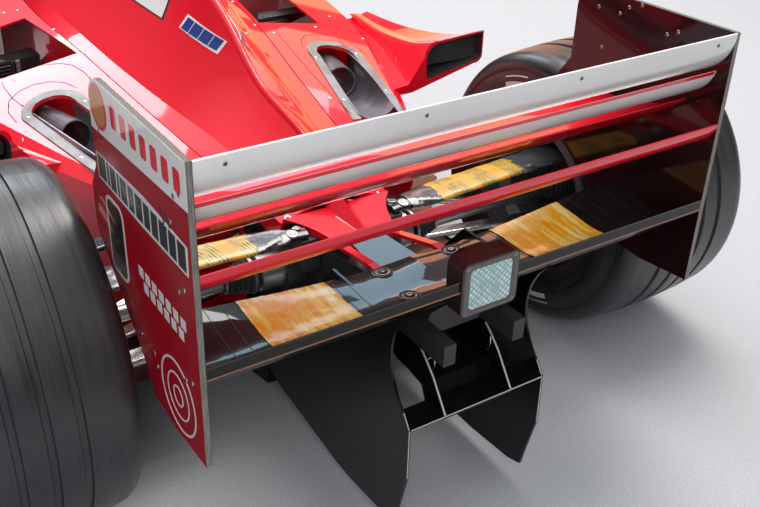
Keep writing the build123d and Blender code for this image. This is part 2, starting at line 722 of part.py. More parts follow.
# Arms of the left rear suspension: inner end, outer end, width and depth
REAR_ARM_END = REAR_TRACK / 2 + 90 - 60 - DISC_THICKNESS - 12 - UPRIGHT_DEPTH - SEAT_GAP
UPPER_ARM_WIDTH = 72.0
ARM_ROOT_WIDTH = 44.0
SLOT_GAP = 8.0
REAR_ARMS = (
    ((97, rear(56), ARM_SEAT_Z + 6), (REAR_ARM_END, rear(26), 430), UPPER_ARM_WIDTH, 14),
    ((90, rear(-230), 388), (REAR_ARM_END, rear(-44), 428), 40, 14),
    ((60, rear(4), 232), (REAR_ARM_END, rear(6), 216), 46, 14),
    ((90, rear(-200), 190), (REAR_ARM_END, rear(-24), 226), 36, 14),
    ((80, rear(-150), 352), (REAR_ARM_END, rear(-16), 262), 24, 14),
)

# Sidepods, with a cooling window in each deck and an opening over each exhaust
PODS = [
    Pod(front(1060), 226, 560, BODY_HALF - 10, 500, BODY_HALF - 50, FLOOR_TOP),
    Pod(front(1470), 262, 606, BODY_HALF, 512, BODY_HALF - 20, FLOOR_TOP),
    Pod(rear(-1150), 262, 578, BODY_HALF - 32, 474, BODY_HALF - 40, FLOOR_TOP),
    Pod(rear(-800), 238, 553, BODY_HALF - 100, 466, BODY_HALF - 110, FLOOR_TOP),
    Pod(rear(-513), 200, 507, 492, 458, 470, FLOOR_TOP),
    Pod(rear(-293), 170, 474, 394, 450, 350, FLOOR_TOP),
    Pod(rear(-117), 140, 450, 290, 436, 240, FLOOR_TOP),
]
POD_JOINT = 1
POD_CAVITY = [PODS[0]._replace(y=PODS[0].y - 1)] + PODS[1:-1] + [PODS[-1]._replace(y=PODS[-1].y + 1)]
EXHAUST_RING = 24.0


def exhaust_outline(margin):
    """Outline of the opening over the left exhaust, seen from above and grown by a margin."""
    with BuildSketch() as outline:
        with BuildLine():
            Polyline(
                (424 + margin, rear(-600)), (346 + margin, rear(-270)), (241 - margin, rear(-270)),
                (322 - margin, rear(-600)),
            )
            ThreePointArc(
                (322 - margin, rear(-600)), (384, rear(-652 - margin)), (424 + margin, rear(-600))
            )
        make_face()
    return outline.sketch


with BuildPart() as sidepod:
    add(pod_body(PODS[:POD_JOINT + 1]))
    add(pod_body(PODS[POD_JOINT:]))
    add(pod_body(POD_CAVITY[:POD_JOINT + 1], wall=SKIN), mode=Mode.SUBTRACT)
    add(pod_body(POD_CAVITY[POD_JOINT:], wall=SKIN), mode=Mode.SUBTRACT)
    with BuildSketch(Plane.XY.offset(400)):
        with BuildLine():
            Polyline(
                (295, rear(-1100)), (250, rear(-803)), (440, rear(-806)), (470, rear(-1095)), close=True
            )
        make_face()
    extrude(amount=300, mode=Mode.SUBTRACT)
    with BuildSketch(Plane.XY.offset(400)):
        add(exhaust_outline(0))
    extrude(amount=200, mode=Mode.SUBTRACT)
    add(monocoque.part, mode=Mode.SUBTRACT)
    add(engine_cover_solid, mode=Mode.SUBTRACT)
    add(diffuser_solid, mode=Mode.SUBTRACT)
    for base, tip, width, depth in REAR_ARMS:
        add(strut(base, tip, width + 2 * SLOT_GAP, depth + 2 * SLOT_GAP), mode=Mode.SUBTRACT)
sidepod_solid = sidepod.part.solids().sort_by(SortBy.VOLUME)[-1]
sidepods = Compound(children=both_sides(sidepod_solid))
save(sidepods, "sidepods")

# Radiators, leaning inside the sidepods behind their inlets
with BuildPart() as radiator:
    with BuildSketch(side_plane(340)):
        Polygon(
            (front(1135), FLOOR_TOP + SKIN), (front(1195), FLOOR_TOP + SKIN), (rear(-1040), 480),
            (rear(-1100), 480), align=None,
        )
    extrude(amount=240)
radiators = Compound(children=both_sides(radiator.part))
save(radiators, "radiators")

# Winglets: ducts that rise from the sidepods ahead of the rear tyres
WINGLET_MOUTH = rear(-405)
WINGLET_WALL = 4.0


class Duct(NamedTuple):
    """Section of the left winglet: root, inner edge with its top, and height of the outer edge."""

    y: float
    foot: float
    inner: float
    inner_top: float
    outer_low: float
    outer_top: float


DUCTS = (
    Duct(rear(-960), BODY_HALF - 100, BODY_HALF - 60, 474, 462, 474),
    Duct(rear(-760), BODY_HALF - 152, BODY_HALF - 98, 480, 462, 482),
    Duct(rear(-560), BODY_HALF - 222, BODY_HALF - 146, 500, 468, 514),
    Duct(WINGLET_MOUTH, BODY_HALF - 280, BODY_HALF - 183, 526, 492, 568),
)


def duct_face(duct):
    """Outline of the winglet at one section, with a rounded inner edge."""
    rise = duct.outer_top - duct.inner_top
    with BuildSketch(cross_plane(duct.y)) as face:
        with BuildLine():
            ThreePointArc(
                (duct.inner + 40, duct.outer_top - 6), (duct.inner + 9, duct.inner_top + 0.62 * rise),
                (duct.inner, duct.inner_top),
            )
            Polyline(
                (duct.inner, duct.inner_top), (duct.foot + 48, 462), (duct.foot, 458), (duct.foot, 440),
                (duct.foot + 60, 440), (BODY_HALF - 26, duct.outer_low - 8),
            )
            ThreePointArc(
                (BODY_HALF - 26, duct.outer_low - 8), (BODY_HALF - 8, duct.outer_low - 3),
                (BODY_HALF, duct.outer_low + 7),
            )
            Polyline(
                (BODY_HALF, duct.outer_low + 7), (BODY_HALF, duct.outer_top),
                (duct.inner + 40, duct.outer_top - 6),
            )
        make_face()
    return face.sketch


def mouth_face(duct, reach=0.0):
    """Outline of the hollow inside the winglet at one section."""
    inner = duct.inner + WINGLET_WALL
    outer = BODY_HALF - WINGLET_WALL
    low = duct.outer_low - 2
    top = duct.outer_top - WINGLET_WALL
    rise = duct.outer_top - duct.inner_top
    with BuildSketch(cross_plane(duct.y + reach)) as face:
        with BuildLine():
            ThreePointArc(
                (inner + 38, top - 7), (inner + 9, duct.inner_top + 0.5 * rise - 4), (inner, duct.inner_top - 6)
            )
            Polyline(
                (inner, duct.inner_top - 6), (inner + 2, min(low - 24, duct.inner_top - 32)), (outer - 24, low),
            )
            ThreePointArc((outer - 24, low), (outer - 7, low + 5), (outer, low + 14))
            Polyline((outer, low + 14), (outer, top), (inner + 38, top - 7))
        make_face()
    return face.sketch


with BuildPart() as winglet:
    for duct in DUCTS:
        add(duct_face(duct))
    loft()
    add(mouth_face(DUCTS[-1]._replace(inner=DUCTS[-1].inner + 10), reach=-150))
    add(mouth_face(DUCTS[-1], reach=2))
    loft(mode=Mode.SUBTRACT)
    add(sidepod_solid, mode=Mode.SUBTRACT)
winglet_solid = winglet.part.solids().sort_by(SortBy.VOLUME)[-1]
winglets = Compound(children=both_sides(winglet_solid))
save(winglets, "winglets")

# Exhausts: each pipe blows into a metal trough in the deck, with a U shaped ring round it
PIPE_RADIUS = 41.0
TROUGH_SKIN = 3.0
RING_LIFT = 3.0
TROUGH = (
    (rear(-640), 374, 494, 50, 92),
    (rear(-520), 350, 492, 52, 88),
    (rear(-400), 321, 484, 53, 62),
    (rear(-285), 293, 473, 52, 24),
)
with BuildPart() as exhaust:
    for y, x, top, half, depth in TROUGH:
        with BuildSketch(cross_plane(y)):
            with BuildLine():
                ThreePointArc((x - half, top), (x, top - depth), (x + half, top))
                Line((x + half, top), (x + half - TROUGH_SKIN, top))
                ThreePointArc(
                    (x + half - TROUGH_SKIN, top), (x, top - depth + TROUGH_SKIN), (x - half + TROUGH_SKIN, top)
                )
                Line((x - half + TROUGH_SKIN, top), (x - half, top))
            make_face()
    loft()
    pipe_plane = Plane(origin=(372, rear(-640), 442), x_dir=(1, 0, 0), z_dir=(-0.22, 1, 0.06))
    with BuildSketch(pipe_plane.offset(-50)):
        Circle(PIPE_RADIUS)
        Circle(PIPE_RADIUS - TROUGH_SKIN, mode=Mode.SUBTRACT)
    extrude(amount=150)
    with BuildSketch(pipe_plane):
        Circle(PIPE_RADIUS - TROUGH_SKIN)
    extrude(amount=120, mode=Mode.SUBTRACT)
    with BuildPart(mode=Mode.PRIVATE) as ring:
        add(pod_body(PODS[POD_JOINT:], wall=-RING_LIFT))
        add(pod_body(PODS[POD_JOINT:]), mode=Mode.SUBTRACT)
        with BuildSketch(Plane.XY.offset(440)):
            add(exhaust_outline(EXHAUST_RING))
            add(exhaust_outline(0), mode=Mode.SUBTRACT)
            Polygon((200, rear(-262)), (420, rear(-262)), (420, rear(-100)), (200, rear(-100)), align=None,
                    mode=Mode.SUBTRACT)
        extrude(amount=120, mode=Mode.INTERSECT)
    add(ring.part.solids().sort_by(SortBy.VOLUME)[-1])
    add(sidepod_solid, mode=Mode.SUBTRACT)
exhausts = Compound(children=both_sides(exhaust.part))
save(exhausts, "exhausts")

# Bargeboards between the front wheels and the sidepods
with BuildPart() as bargeboard:
    with BuildSketch(Plane.XY.offset(FLOOR_TOP)):
        with BuildLine():
            ThreePointArc((330, front(480)), (395, front(760)), (520, front(980)))
            Line((520, front(980)), (516, front(982)))
            ThreePointArc((516, front(982)), (390, front(761)), (325, front(480)))
            Line((325, front(480)), (330, front(480)))
        make_face()
    extrude(amount=330)
    with BuildSketch(side_plane(0)):
        Polygon(
            (front(400), 60), (front(480), 300), (front(700), 420), (front(1000), 430),
            (front(1000), 600), (front(400), 600), align=None,
        )
    extrude(amount=600, mode=Mode.SUBTRACT)
    for bracket_z in (200, 340):
        with Locations((285, front(700), bracket_z)):
            Box(190, 30, 6)
    add(monocoque.part, mode=Mode.SUBTRACT)
bargeboard_solid = bargeboard.part.solids().sort_by(SortBy.VOLUME)[-1]
bargeboards = Compound(children=both_sides(bargeboard_solid))
save(bargeboards, "bargeboards")

# Wheels
AXLES = {
    "front": (FRONT_TRACK / 2, FRONT_AXLE_Y, FRONT_TYRE_RADIUS, FRONT_TYRE_WIDTH, 60.0),
    "rear": (REAR_TRACK / 2, REAR_AXLE_Y, REAR_TYRE_RADIUS, REAR_TYRE_WIDTH, 90.0),
}


def hub_body(plane, face, shaft_end=None):
    """Axle with its brake disc, drive flange and wheel nut, and a driveshaft to shaft_end."""
    disc = face - 60
    back = disc - DISC_THICKNESS
    stub = back - 12 - UPRIGHT_DEPTH - 4
    inner = [(stub, AXLE_RADIUS), (stub, 0)]
    if shaft_end is not None:
        inner = [
            (stub, AXLE_RADIUS), (stub, SHAFT_RADIUS), (shaft_end + 60, SHAFT_RADIUS), (shaft_end + 50, 38),
            (shaft_end, 38), (shaft_end, 0),
        ]
    with BuildPart() as hub:
        with BuildSketch(plane):
            with BuildLine():
                Polyline(
                    (face + 34, 0), (face + 34, NUT_RADIUS - 8), (face + 28, NUT_RADIUS),
                    (face + 4 + SEAT_GAP, NUT_RADIUS), (face + 4 + SEAT_GAP, 29.7), (face - 34 - SEAT_GAP, 29.7),
                    (face - 34 - SEAT_GAP, 70), (face - 46, 70), (face - 46, 40), (disc, 40),
                    (disc, DISC_RADIUS), (back, DISC_RADIUS), (back, AXLE_RADIUS), *inner, close=True,
                )
            make_face()
        revolve(axis=axle_line(plane))
    return hub.part


for axle, (x, y, radius, width, face) in AXLES.items():
    shaft_end = DRIVE_FLANGE_X + SEAT_GAP - x if axle == "rear" else None
    for side, sign in (("left", 1), ("right", -1)):
        plane = wheel_plane(sign * x, y, radius)
        save(tyre_body(plane, radius, width), f"{axle}_{side}_tyre")
        save(rim_body(plane, width, face), f"{axle}_{side}_rim")
        save(hub_body(plane, face, shaft_end), f"{axle}_{side}_hub")

# Uprights: each carries a hub in its bearing bore and a brake caliper around the disc
UPRIGHT_HEIGHT = 122.0
PIN_RADIUS = 8.0
EYE_RADIUS = 16.0
EYE_HEIGHT = 16.0
ARM_PIN_RADIUS = 5.0
ARM_EYE_PLAY = 4.5


def upright_body(x, y, z, face, steered):
    """Upright of the left wheel whose centre is at x, y, z."""
    disc_outer = x + face - 60
    disc_inner = disc_outer - DISC_THICKNESS
    back = disc_inner - 12
    across = Plane(origin=(back - UPRIGHT_DEPTH, y, z), x_dir=(0, 1, 0), z_dir=(1, 0, 0))
    tilt = radians(-25)
    caliper_plane = Plane(origin=(0, y, z), x_dir=(1, 0, 0), z_dir=(0, -sin(tilt), cos(tilt)))
    with BuildPart() as upright:
        with BuildSketch(across):
            Polygon(
                (-34, -UPRIGHT_HEIGHT), (34, -UPRIGHT_HEIGHT), (58, -60), (58, 60), (34, UPRIGHT_HEIGHT),
                (-34, UPRIGHT_HEIGHT), (-58, 60), (-58, -60), align=None,
            )
        extrude(amount=UPRIGHT_DEPTH)
        with BuildSketch(across.offset(UPRIGHT_DEPTH - 12)):
            Circle(106)
        extrude(amount=12)
        with BuildSketch(caliper_plane):
            Polygon(
                (disc_inner - 26, 92), (disc_outer + 24, 92), (disc_outer + 24, CALIPER_RADIUS),
                (disc_inner - 26, CALIPER_RADIUS), align=None,
            )
            Polygon(
                (disc_inner - CALIPER_GAP, 80), (disc_outer + CALIPER_GAP, 80),
                (disc_outer + CALIPER_GAP, DISC_RADIUS + CALIPER_GAP),
                (disc_inner - CALIPER_GAP, DISC_RADIUS + CALIPER_GAP), align=None, mode=Mode.SUBTRACT,
            )
        revolve(axis=Axis((0, y, z), (1, 0, 0)), revolution_arc=50)
        with BuildSketch(across):
            Circle(AXLE_RADIUS + RUNNING_GAP)
        extrude(amount=UPRIGHT_DEPTH, mode=Mode.SUBTRACT)
        if steered:
            for way in (-1, 1):
                eye_end = z + way * (KINGPIN_RISE + EYE_HEIGHT / 2)
                with BuildSketch(Plane.XY.offset(eye_end + way)):
                    with Locations(((KINGPIN_X + back) / 2 - 6, y)):
                        Rectangle(back - KINGPIN_X + 12, 34)
                extrude(amount=way * 9)
                with BuildSketch(Plane.XY.offset(eye_end + way * 2)):
                    with Locations((KINGPIN_X, y)):
                        Circle(PIN_RADIUS)
                extrude(amount=-way * (EYE_HEIGHT + 2))
            with BuildSketch(Plane.XY.offset(RACK_Z + 9)):
                Polygon(
                    (KINGPIN_X - 14, y - STEER_ARM - 14), (KINGPIN_X + 14, y - STEER_ARM - 14),
                    (back - 2, y - 60), (back - 2, y - 20), (back - 30, y - 20), align=None,
                )
            extrude(amount=10)
            with BuildSketch(Plane.XY.offset(RACK_Z + 10)):
                with Locations((KINGPIN_X, y - STEER_ARM)):
                    Circle(ARM_PIN_RADIUS)
            extrude(amount=-18)
    return upright.part


front_upright = upright_body(FRONT_TRACK / 2, FRONT_AXLE_Y, FRONT_TYRE_RADIUS, 60.0, True)
for name, piece in zip(("front_left_upright", "front_right_upright"), both_sides(front_upright)):
    save(piece, name)
rear_upright = upright_body(REAR_TRACK / 2, REAR_AXLE_Y, REAR_TYRE_RADIUS, 90.0, False)
save(Compound(children=both_sides(rear_upright)), "rear_uprights")

# Front suspension: upper and lower wishbones and a push rod on each side
WISHBONES = (
    (FRONT_TYRE_RADIUS + KINGPIN_RISE, (130, front(-100), 556), (150, front(270), 585)),
    (FRONT_TYRE_RADIUS - KINGPIN_RISE, (120, front(-100), 340), (160, front(270), 320)),
)
wishbones = []
for eye_z, fore_pivot, aft_pivot in WISHBONES:
    with BuildPart() as wishbone:
        for pivot in (fore_pivot, aft_pivot):
            add(strut(pivot, (KINGPIN_X - 10, FRONT_AXLE_Y, eye_z), 34, 11))
        with BuildSketch(Plane.XY.offset(eye_z - EYE_HEIGHT / 2)):
            with Locations((KINGPIN_X, FRONT_AXLE_Y)):
                Circle(EYE_RADIUS)
        extrude(amount=EYE_HEIGHT)
        with BuildSketch(Plane.XY.offset(eye_z - EYE_HEIGHT)):
            with Locations((KINGPIN_X, FRONT_AXLE_Y)):
                Circle(PIN_RADIUS + RUNNING_GAP)
        extrude(amount=2 * EYE_HEIGHT, mode=Mode.SUBTRACT)
        add(monocoque.part, mode=Mode.SUBTRACT)
    wishbones.append(wishbone.part.solids().sort_by(Axis.X)[-1])
with BuildPart() as push_rod:
    add(strut((120, FRONT_AXLE_Y, 590), (590, FRONT_AXLE_Y, 244), 26, 13))
    add(monocoque.part, mode=Mode.SUBTRACT)
    add(wishbones[1], mode=Mode.SUBTRACT)
push_rod_solid = push_rod.part.solids().sort_by(SortBy.VOLUME)[-1]
front_links = [piece for arm in (*wishbones, push_rod_solid) for piece in both_sides(arm)]
save(Compound(children=front_links), "front_suspension")

# Rear suspension: arms from the gearbox to the uprights, and a push rod on each side
rear_arms = []
for base, tip, width, depth in REAR_ARMS:
    with BuildPart() as arm:
        if width == UPPER_ARM_WIDTH:
            add(blade(base, tip, ARM_ROOT_WIDTH, width, depth + 2))
        else:
            add(strut(base, tip, width, depth))
        add(gearbox.part, mode=Mode.SUBTRACT)
        with BuildSketch(side_plane(REAR_ARM_END)):
            Rectangle(4 * LENGTH, 2000)
        extrude(amount=60, mode=Mode.SUBTRACT)
    rear_arms.append(arm.part.solids().sort_by(SortBy.VOLUME)[-1])
save(Compound(children=[piece for arm in rear_arms for piece in both_sides(arm)]), "rear_suspension")

# Steering: a rack bar with a track rod to each arm, and the wheel on its column
with BuildPart() as track_rod:
    rod_y = front(-STEER_ARM)
    add(strut((RACK_HALF, rod_y, RACK_Z), (KINGPIN_X - 12, rod_y, RACK_Z), 20, 11))
    with BuildSketch(Plane.XY.offset(RACK_Z - 7)):
        with Locations((KINGPIN_X, rod_y)):
            Circle(ARM_PIN_RADIUS + ARM_EYE_PLAY + 5)
    extrude(amount=14)
    with BuildSketch(Plane.XY.offset(RACK_Z - 10)):
        with Locations((KINGPIN_X, rod_y)):
            Circle(ARM_PIN_RADIUS + ARM_EYE_PLAY)
    extrude(amount=20, mode=Mode.SUBTRACT)
with BuildPart() as steering_rack:
    with BuildSketch(Plane(origin=(-RACK_HALF, rod_y, RACK_Z), x_dir=(0, 1, 0), z_dir=(1, 0, 0))):
        Circle(RACK_RADIUS)
    extrude(amount=2 * RACK_HALF)
    add(both_sides(track_rod.part))
save(steering_rack.part, "steering_rack")

GRIP_WIDTH = 256.0
GRIP_HEIGHT = 168.0
with BuildPart() as steering_wheel:
    with BuildSketch(column_plane.offset(-12)):
        RectangleRounded(GRIP_WIDTH, GRIP_HEIGHT, 60)
        for way in (-1, 1):
            with Locations((way * 74, 0)):
                SlotOverall(80, 46, rotation=90, mode=Mode.SUBTRACT)
    extrude(amount=26)
    chamfer(steering_wheel.faces().sort_by(Axis.Y)[-1].outer_wire().edges(), 6)
    with BuildSketch(column_plane):
        Circle(COLUMN_RADIUS)
    extrude(amount=-190)
save(steering_wheel.part, "steering_wheel")

# Cockpit: seat, padded headrest, windscreen and mirrors
SEAT_HALF = 150.0
with BuildPart() as seat:
    floor_z = FLOOR_TOP + TUB_WALL + SEAT_GAP
    with BuildSketch(side_plane(-SEAT_HALF)):
        with BuildLine():
            Polyline(
                (front(900), floor_z + 40), (front(900), floor_z), (front(1130), floor_z),
                (COCKPIT_REAR - 40, 560), (COCKPIT_REAR - 40, 590), (COCKPIT_REAR - 70, 590),
                (front(1110), floor_z + 60),
            )
            ThreePointArc((front(1110), floor_z + 60), (front(1020), floor_z + 22), (front(900), floor_z + 40))
        make_face()
    extrude(amount=2 * SEAT_HALF)
save(seat.part, "seat")

with BuildPart() as headrest:
    with BuildSketch(Plane.XY.offset(606)):
        with Locations((0, (front(1160) + COCKPIT_REAR) / 2 - SEAT_GAP / 2)):
            RectangleRounded(
                2 * (COCKPIT_HALF - SEAT_GAP), COCKPIT_REAR - front(1160) - SEAT_GAP,
                COCKPIT_CORNER - SEAT_GAP,
            )
        with Locations((0, front(1290))):
            RectangleRounded(270, 330, 90, mode=Mode.SUBTRACT)
    extrude(amount=134)
    add(engine_cover_solid, mode=Mode.SUBTRACT)
save(headrest.part.solids().sort_by(SortBy.VOLUME)[-1], "headrest")

with BuildPart() as windscreen:
    with BuildSketch(Plane.XY.offset(600)):
        with Locations((0, (COCKPIT_FRONT + COCKPIT_REAR) / 2)):
            RectangleRounded(2 * COCKPIT_HALF + 28, COCKPIT_REAR - COCKPIT_FRONT + 28, 134)
            RectangleRounded(2 * COCKPIT_HALF + 22, COCKPIT_REAR - COCKPIT_FRONT + 22, 131, mode=Mode.SUBTRACT)
        with Locations((0, front(1300))):
            Rectangle(800, 640, mode=Mode.SUBTRACT)
    extrude(amount=134)
    add(monocoque.part, mode=Mode.SUBTRACT)
windscreen_solid = windscreen.part.solids().sort_by(Axis.Z)[-1]
save(windscreen_solid, "windscreen")

MIRROR_X = 330.0
with BuildPart() as mirror_pod:
    with BuildSketch(cross_plane(front(742))):
        with Locations((MIRROR_X, 700)):
            RectangleRounded(90, 34, 12)
    with BuildSketch(cross_plane(front(792))):
        with Locations((MIRROR_X, 700)):
            RectangleRounded(140, 56, 16)
    loft()
    add(strut((180, front(780), 630), (MIRROR_X - 40, front(770), 692), 30, 8))
    add(monocoque.part, mode=Mode.SUBTRACT)
mirror_solid = mirror_pod.part.solids().sort_by(SortBy.VOLUME)[-1]
save(Compound(children=both_sides(mirror_solid)), "mirrors")

# Tail cover: red panel behind the engine cover, with two legs down to the lower wing
with BuildPart() as tail_cover:
    with BuildSketch(side_plane(-140)):
        Polygon(
            (rear(15), 424), (rear(15), 438), (rear(142), 422), (rear(250), 446), (rear(250), 438),
            (rear(142), 414), (rear(60), 417), align=None,
        )
    extrude(amount=280)
    with BuildSketch(cross_plane(rear(15))):
        Polygon((-30, 434), (0, 470), (30, 434), align=None)
    with BuildSketch(cross_plane(rear(142))):
        Polygon((-9, 416), (0, 424), (9, 416), align=None)
    loft()
    with BuildSketch(Plane.XY.offset(380)):
        with BuildLine():
            right_side = ThreePointArc((122, rear(15)), (84, rear(70)), (66, rear(142)))
            Polyline((66, rear(142)), (78, rear(250)), (62, rear(250)), (50, rear(142)), (-50, rear(142)))
            Polyline((-50, rear(142)), (-62, rear(250)), (-78, rear(250)), (-66, rear(142)))
            ThreePointArc((-66, rear(142)), (-84, rear(70)), (-122, rear(15)))
            Line((-122, rear(15)), (122, rear(15)))
        make_face()
    extrude(amount=100, mode=Mode.INTERSECT)
    add(lower_wing.part, mode=Mode.SUBTRACT)
    add(gearbox.part, mode=Mode.SUBTRACT)
    base, tip, width, depth = REAR_ARMS[0]
    for arm_slot in both_sides(strut(base, tip, width + SLOT_GAP, depth + SLOT_GAP)):
        add(arm_slot, mode=Mode.SUBTRACT)
save(tail_cover.part.solids().sort_by(SortBy.VOLUME)[-1], "tail_cover")
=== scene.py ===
"""Looks of an open wheel racing car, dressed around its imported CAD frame.

The car faces -Y, +X is its left hand side and +Z is up. Lengths are in metres, but for places and
sizes said to be in millimetres. The trim is placed with spot(), which takes millimetres across the
car, aft of the rear axle and up from the ground.
"""

from __future__ import annotations

import json
import logging
import math
import random
from collections.abc import Callable
from dataclasses import dataclass, field
from enum import Enum
from functools import cache
from typing import NamedTuple

import bpy
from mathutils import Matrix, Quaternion, Vector
from mathutils.bvhtree import BVHTree

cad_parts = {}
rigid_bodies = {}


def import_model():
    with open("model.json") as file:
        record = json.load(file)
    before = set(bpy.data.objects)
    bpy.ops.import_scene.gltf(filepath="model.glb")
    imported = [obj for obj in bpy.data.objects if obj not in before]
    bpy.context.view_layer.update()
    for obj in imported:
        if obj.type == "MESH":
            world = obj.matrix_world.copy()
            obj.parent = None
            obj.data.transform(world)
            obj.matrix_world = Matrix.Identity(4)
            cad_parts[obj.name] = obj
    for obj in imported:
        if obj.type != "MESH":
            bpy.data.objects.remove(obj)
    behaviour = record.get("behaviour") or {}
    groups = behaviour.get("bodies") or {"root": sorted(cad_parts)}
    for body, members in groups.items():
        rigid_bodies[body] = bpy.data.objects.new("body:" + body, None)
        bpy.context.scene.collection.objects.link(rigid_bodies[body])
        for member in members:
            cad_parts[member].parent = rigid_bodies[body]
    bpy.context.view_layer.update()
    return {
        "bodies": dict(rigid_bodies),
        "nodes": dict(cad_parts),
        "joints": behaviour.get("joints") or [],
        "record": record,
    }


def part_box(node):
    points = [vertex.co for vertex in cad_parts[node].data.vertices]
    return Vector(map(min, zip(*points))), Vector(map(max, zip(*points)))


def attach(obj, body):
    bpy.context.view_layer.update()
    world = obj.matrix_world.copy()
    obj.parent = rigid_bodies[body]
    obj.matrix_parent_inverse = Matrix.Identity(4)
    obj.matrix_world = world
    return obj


LOG = logging.getLogger("racing_car")
REAR_AXLE_Y = 1.710
FRONT_AXLE_Y = -1.300
LEFT = Vector((1, 0, 0))
AHEAD = Vector((0, -1, 0))
AFT = Vector((0, 1, 0))
UP = Vector((0, 0, 1))
DOWN = Vector((0, 0, -1))
SIDES = (1, -1)
SIDE_NAMES = {1: "left", -1: "right"}
# Height in millimetres that rays start from, over all the bodywork
OVERHEAD = 900
Triple = tuple[float, float, float]
Colour = Triple
Place = tuple[float, float]
Places = tuple[Place, ...]
Profile = list[Place]
Socket = bpy.types.NodeSocket
Node = bpy.types.Node
Tree = bpy.types.NodeTree
PALE_DUST = (0.5, 0.46, 0.42)
GREY_DUST = (0.24, 0.22, 0.2)


def spot(across: float, aft: float, up: float) -> Vector:
    """Give a point from millimetres to the left, aft of the rear axle and up."""
    return Vector((across / 1000, REAR_AXLE_Y + aft / 1000, up / 1000))


def nose_spot(across: float, aft: float, up: float) -> Vector:
    """Give a point from metres to the left, aft of the front axle and up."""
    return Vector((across, FRONT_AXLE_Y + aft, up))


class Body(Enum):
    """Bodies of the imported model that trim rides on."""

    CHASSIS = "chassis"
    STEERING_WHEEL = "steering_wheel"
    FRONT_LEFT = "front_left_wheel"
    FRONT_RIGHT = "front_right_wheel"
    REAR_LEFT = "rear_left_wheel"
    REAR_RIGHT = "rear_right_wheel"


class Slot(Enum):
    """Material slots of the record; each piece of trim is passed one, which is not used."""

    RED = "red_paint"
    WHITE = "white_paint"
    DARK = "dark_composite"
    PADDING = "padding"
    STEEL = "bare_steel"
    ALLOY = "bare_alloy"
    CASTING = "dark_casting"
    TYRE = "tyre_rubber"
    WHEEL = "wheel_paint"


class Wiring:
    """Short hand for building a node tree."""

    def __init__(self, tree: Tree) -> None:
        """Hold the tree that is built."""
        self.tree = tree

    def add(self, kind: str, values: dict[int | str, object] | None = None, **settings: object) -> Node:
        """Add a node.

        Args:
            kind: Node type name.
            values: What feeds its inputs, by their names or numbers.
            settings: Attributes of the node, such as its operation.

        Returns:
            The new node.
        """
        node = self.tree.nodes.new(kind)
        for key, value in settings.items():
            setattr(node, key, value)
        for key, value in (values or {}).items():
            self.feed(node.inputs[key], value)
        return node

    def feed(self, socket: Socket, value: object) -> None:
        """Link a socket to another one, or set its value.

        Args:
            socket: Input socket.
            value: Output socket, number or colour, or None to leave it as it is.
        """
        if isinstance(value, Socket):
            self.tree.links.new(value, socket)
        elif isinstance(value, tuple) and socket.type == "RGBA":
            socket.default_value = (*value, 1.0)
        elif value is not None:
            socket.default_value = value

    def fed(self, kind: str, *values: object, **settings: object) -> Node:
        """Add a node and feed its first inputs in order."""
        return self.add(kind, dict(enumerate(values)), **settings)

    def math(self, operation: str, first: object, second: object = 0.0) -> Socket:
        """Combine two values by an operation, and give the result."""
        return self.fed("ShaderNodeMath", first, second, operation=operation).outputs[0]

    def times(self, first: object, second: object) -> Socket:
        """Multiply two sockets or numbers."""
        return self.math("MULTIPLY", first, second)

    def plus(self, first: object, second: object) -> Socket:
        """Add two sockets or numbers."""
        return self.math("ADD", first, second)

    def repeat(self, value: object, rate: object) -> Socket:
        """Give how far a value is into its repeats, of which rate go to the metre."""
        return self.math("FRACT", self.times(value, rate))

    def span(self, value: object, low: float, high: float, start: float = 0.0, end: float = 1.0) -> Socket:
        """Map a value's range from low to high onto another one, clamped."""
        return self.fed("ShaderNodeMapRange", value, low, high, start, end).outputs[0]

    def mix(self, share: object, first: object, second: object) -> Socket:
        """Mix two colours, by the share of the second one."""
        return self.add("ShaderNodeMix", {0: share, 6: first, 7: second}, data_type="RGBA").outputs[2]

    def noise(self, place: object, scale: object, detail: float = 3.0, roughness: float = 0.5) -> Socket:
        """Add a noise with so many features to the metre."""
        values = {"Vector": place, "Scale": scale, "Detail": detail, "Roughness": roughness}
        return self.add("ShaderNodeTexNoise", values).outputs["Fac"]

    def stretch(self, place: object, scale: Triple) -> Socket:
        """Scale coordinates along their axes."""
        return self.add("ShaderNodeMapping", {"Vector": place, "Scale": scale}).outputs[0]

    def place(self) -> Socket:
        """Give the object coordinates, which are the row frame's metres."""
        return self.add("ShaderNodeTexCoord").outputs["Object"]

    def axes(self, place: object) -> tuple[Socket, Socket, Socket]:
        """Split coordinates into the sockets of x, y and z."""
        x, y, z = self.fed("ShaderNodeSeparateXYZ", place).outputs
        return x, y, z

    def bump(self, height: object, distance: float, strength: float, under: object = None) -> Socket:
        """Turn a height into a normal, and add it to the one under it."""
        values = {"Strength": strength, "Distance": distance, "Height": height, "Normal": under}
        return self.add("ShaderNodeBump", values).outputs[0]


class Effect(Enum):
    """Shader node groups that several finishes share."""

    DUST = "dust_film"
    GRAIN = "fine_grain"
    WEAVE = "twill_weave"
    WAVES = "panel_waves"
    BRUSH = "brushed_lines"


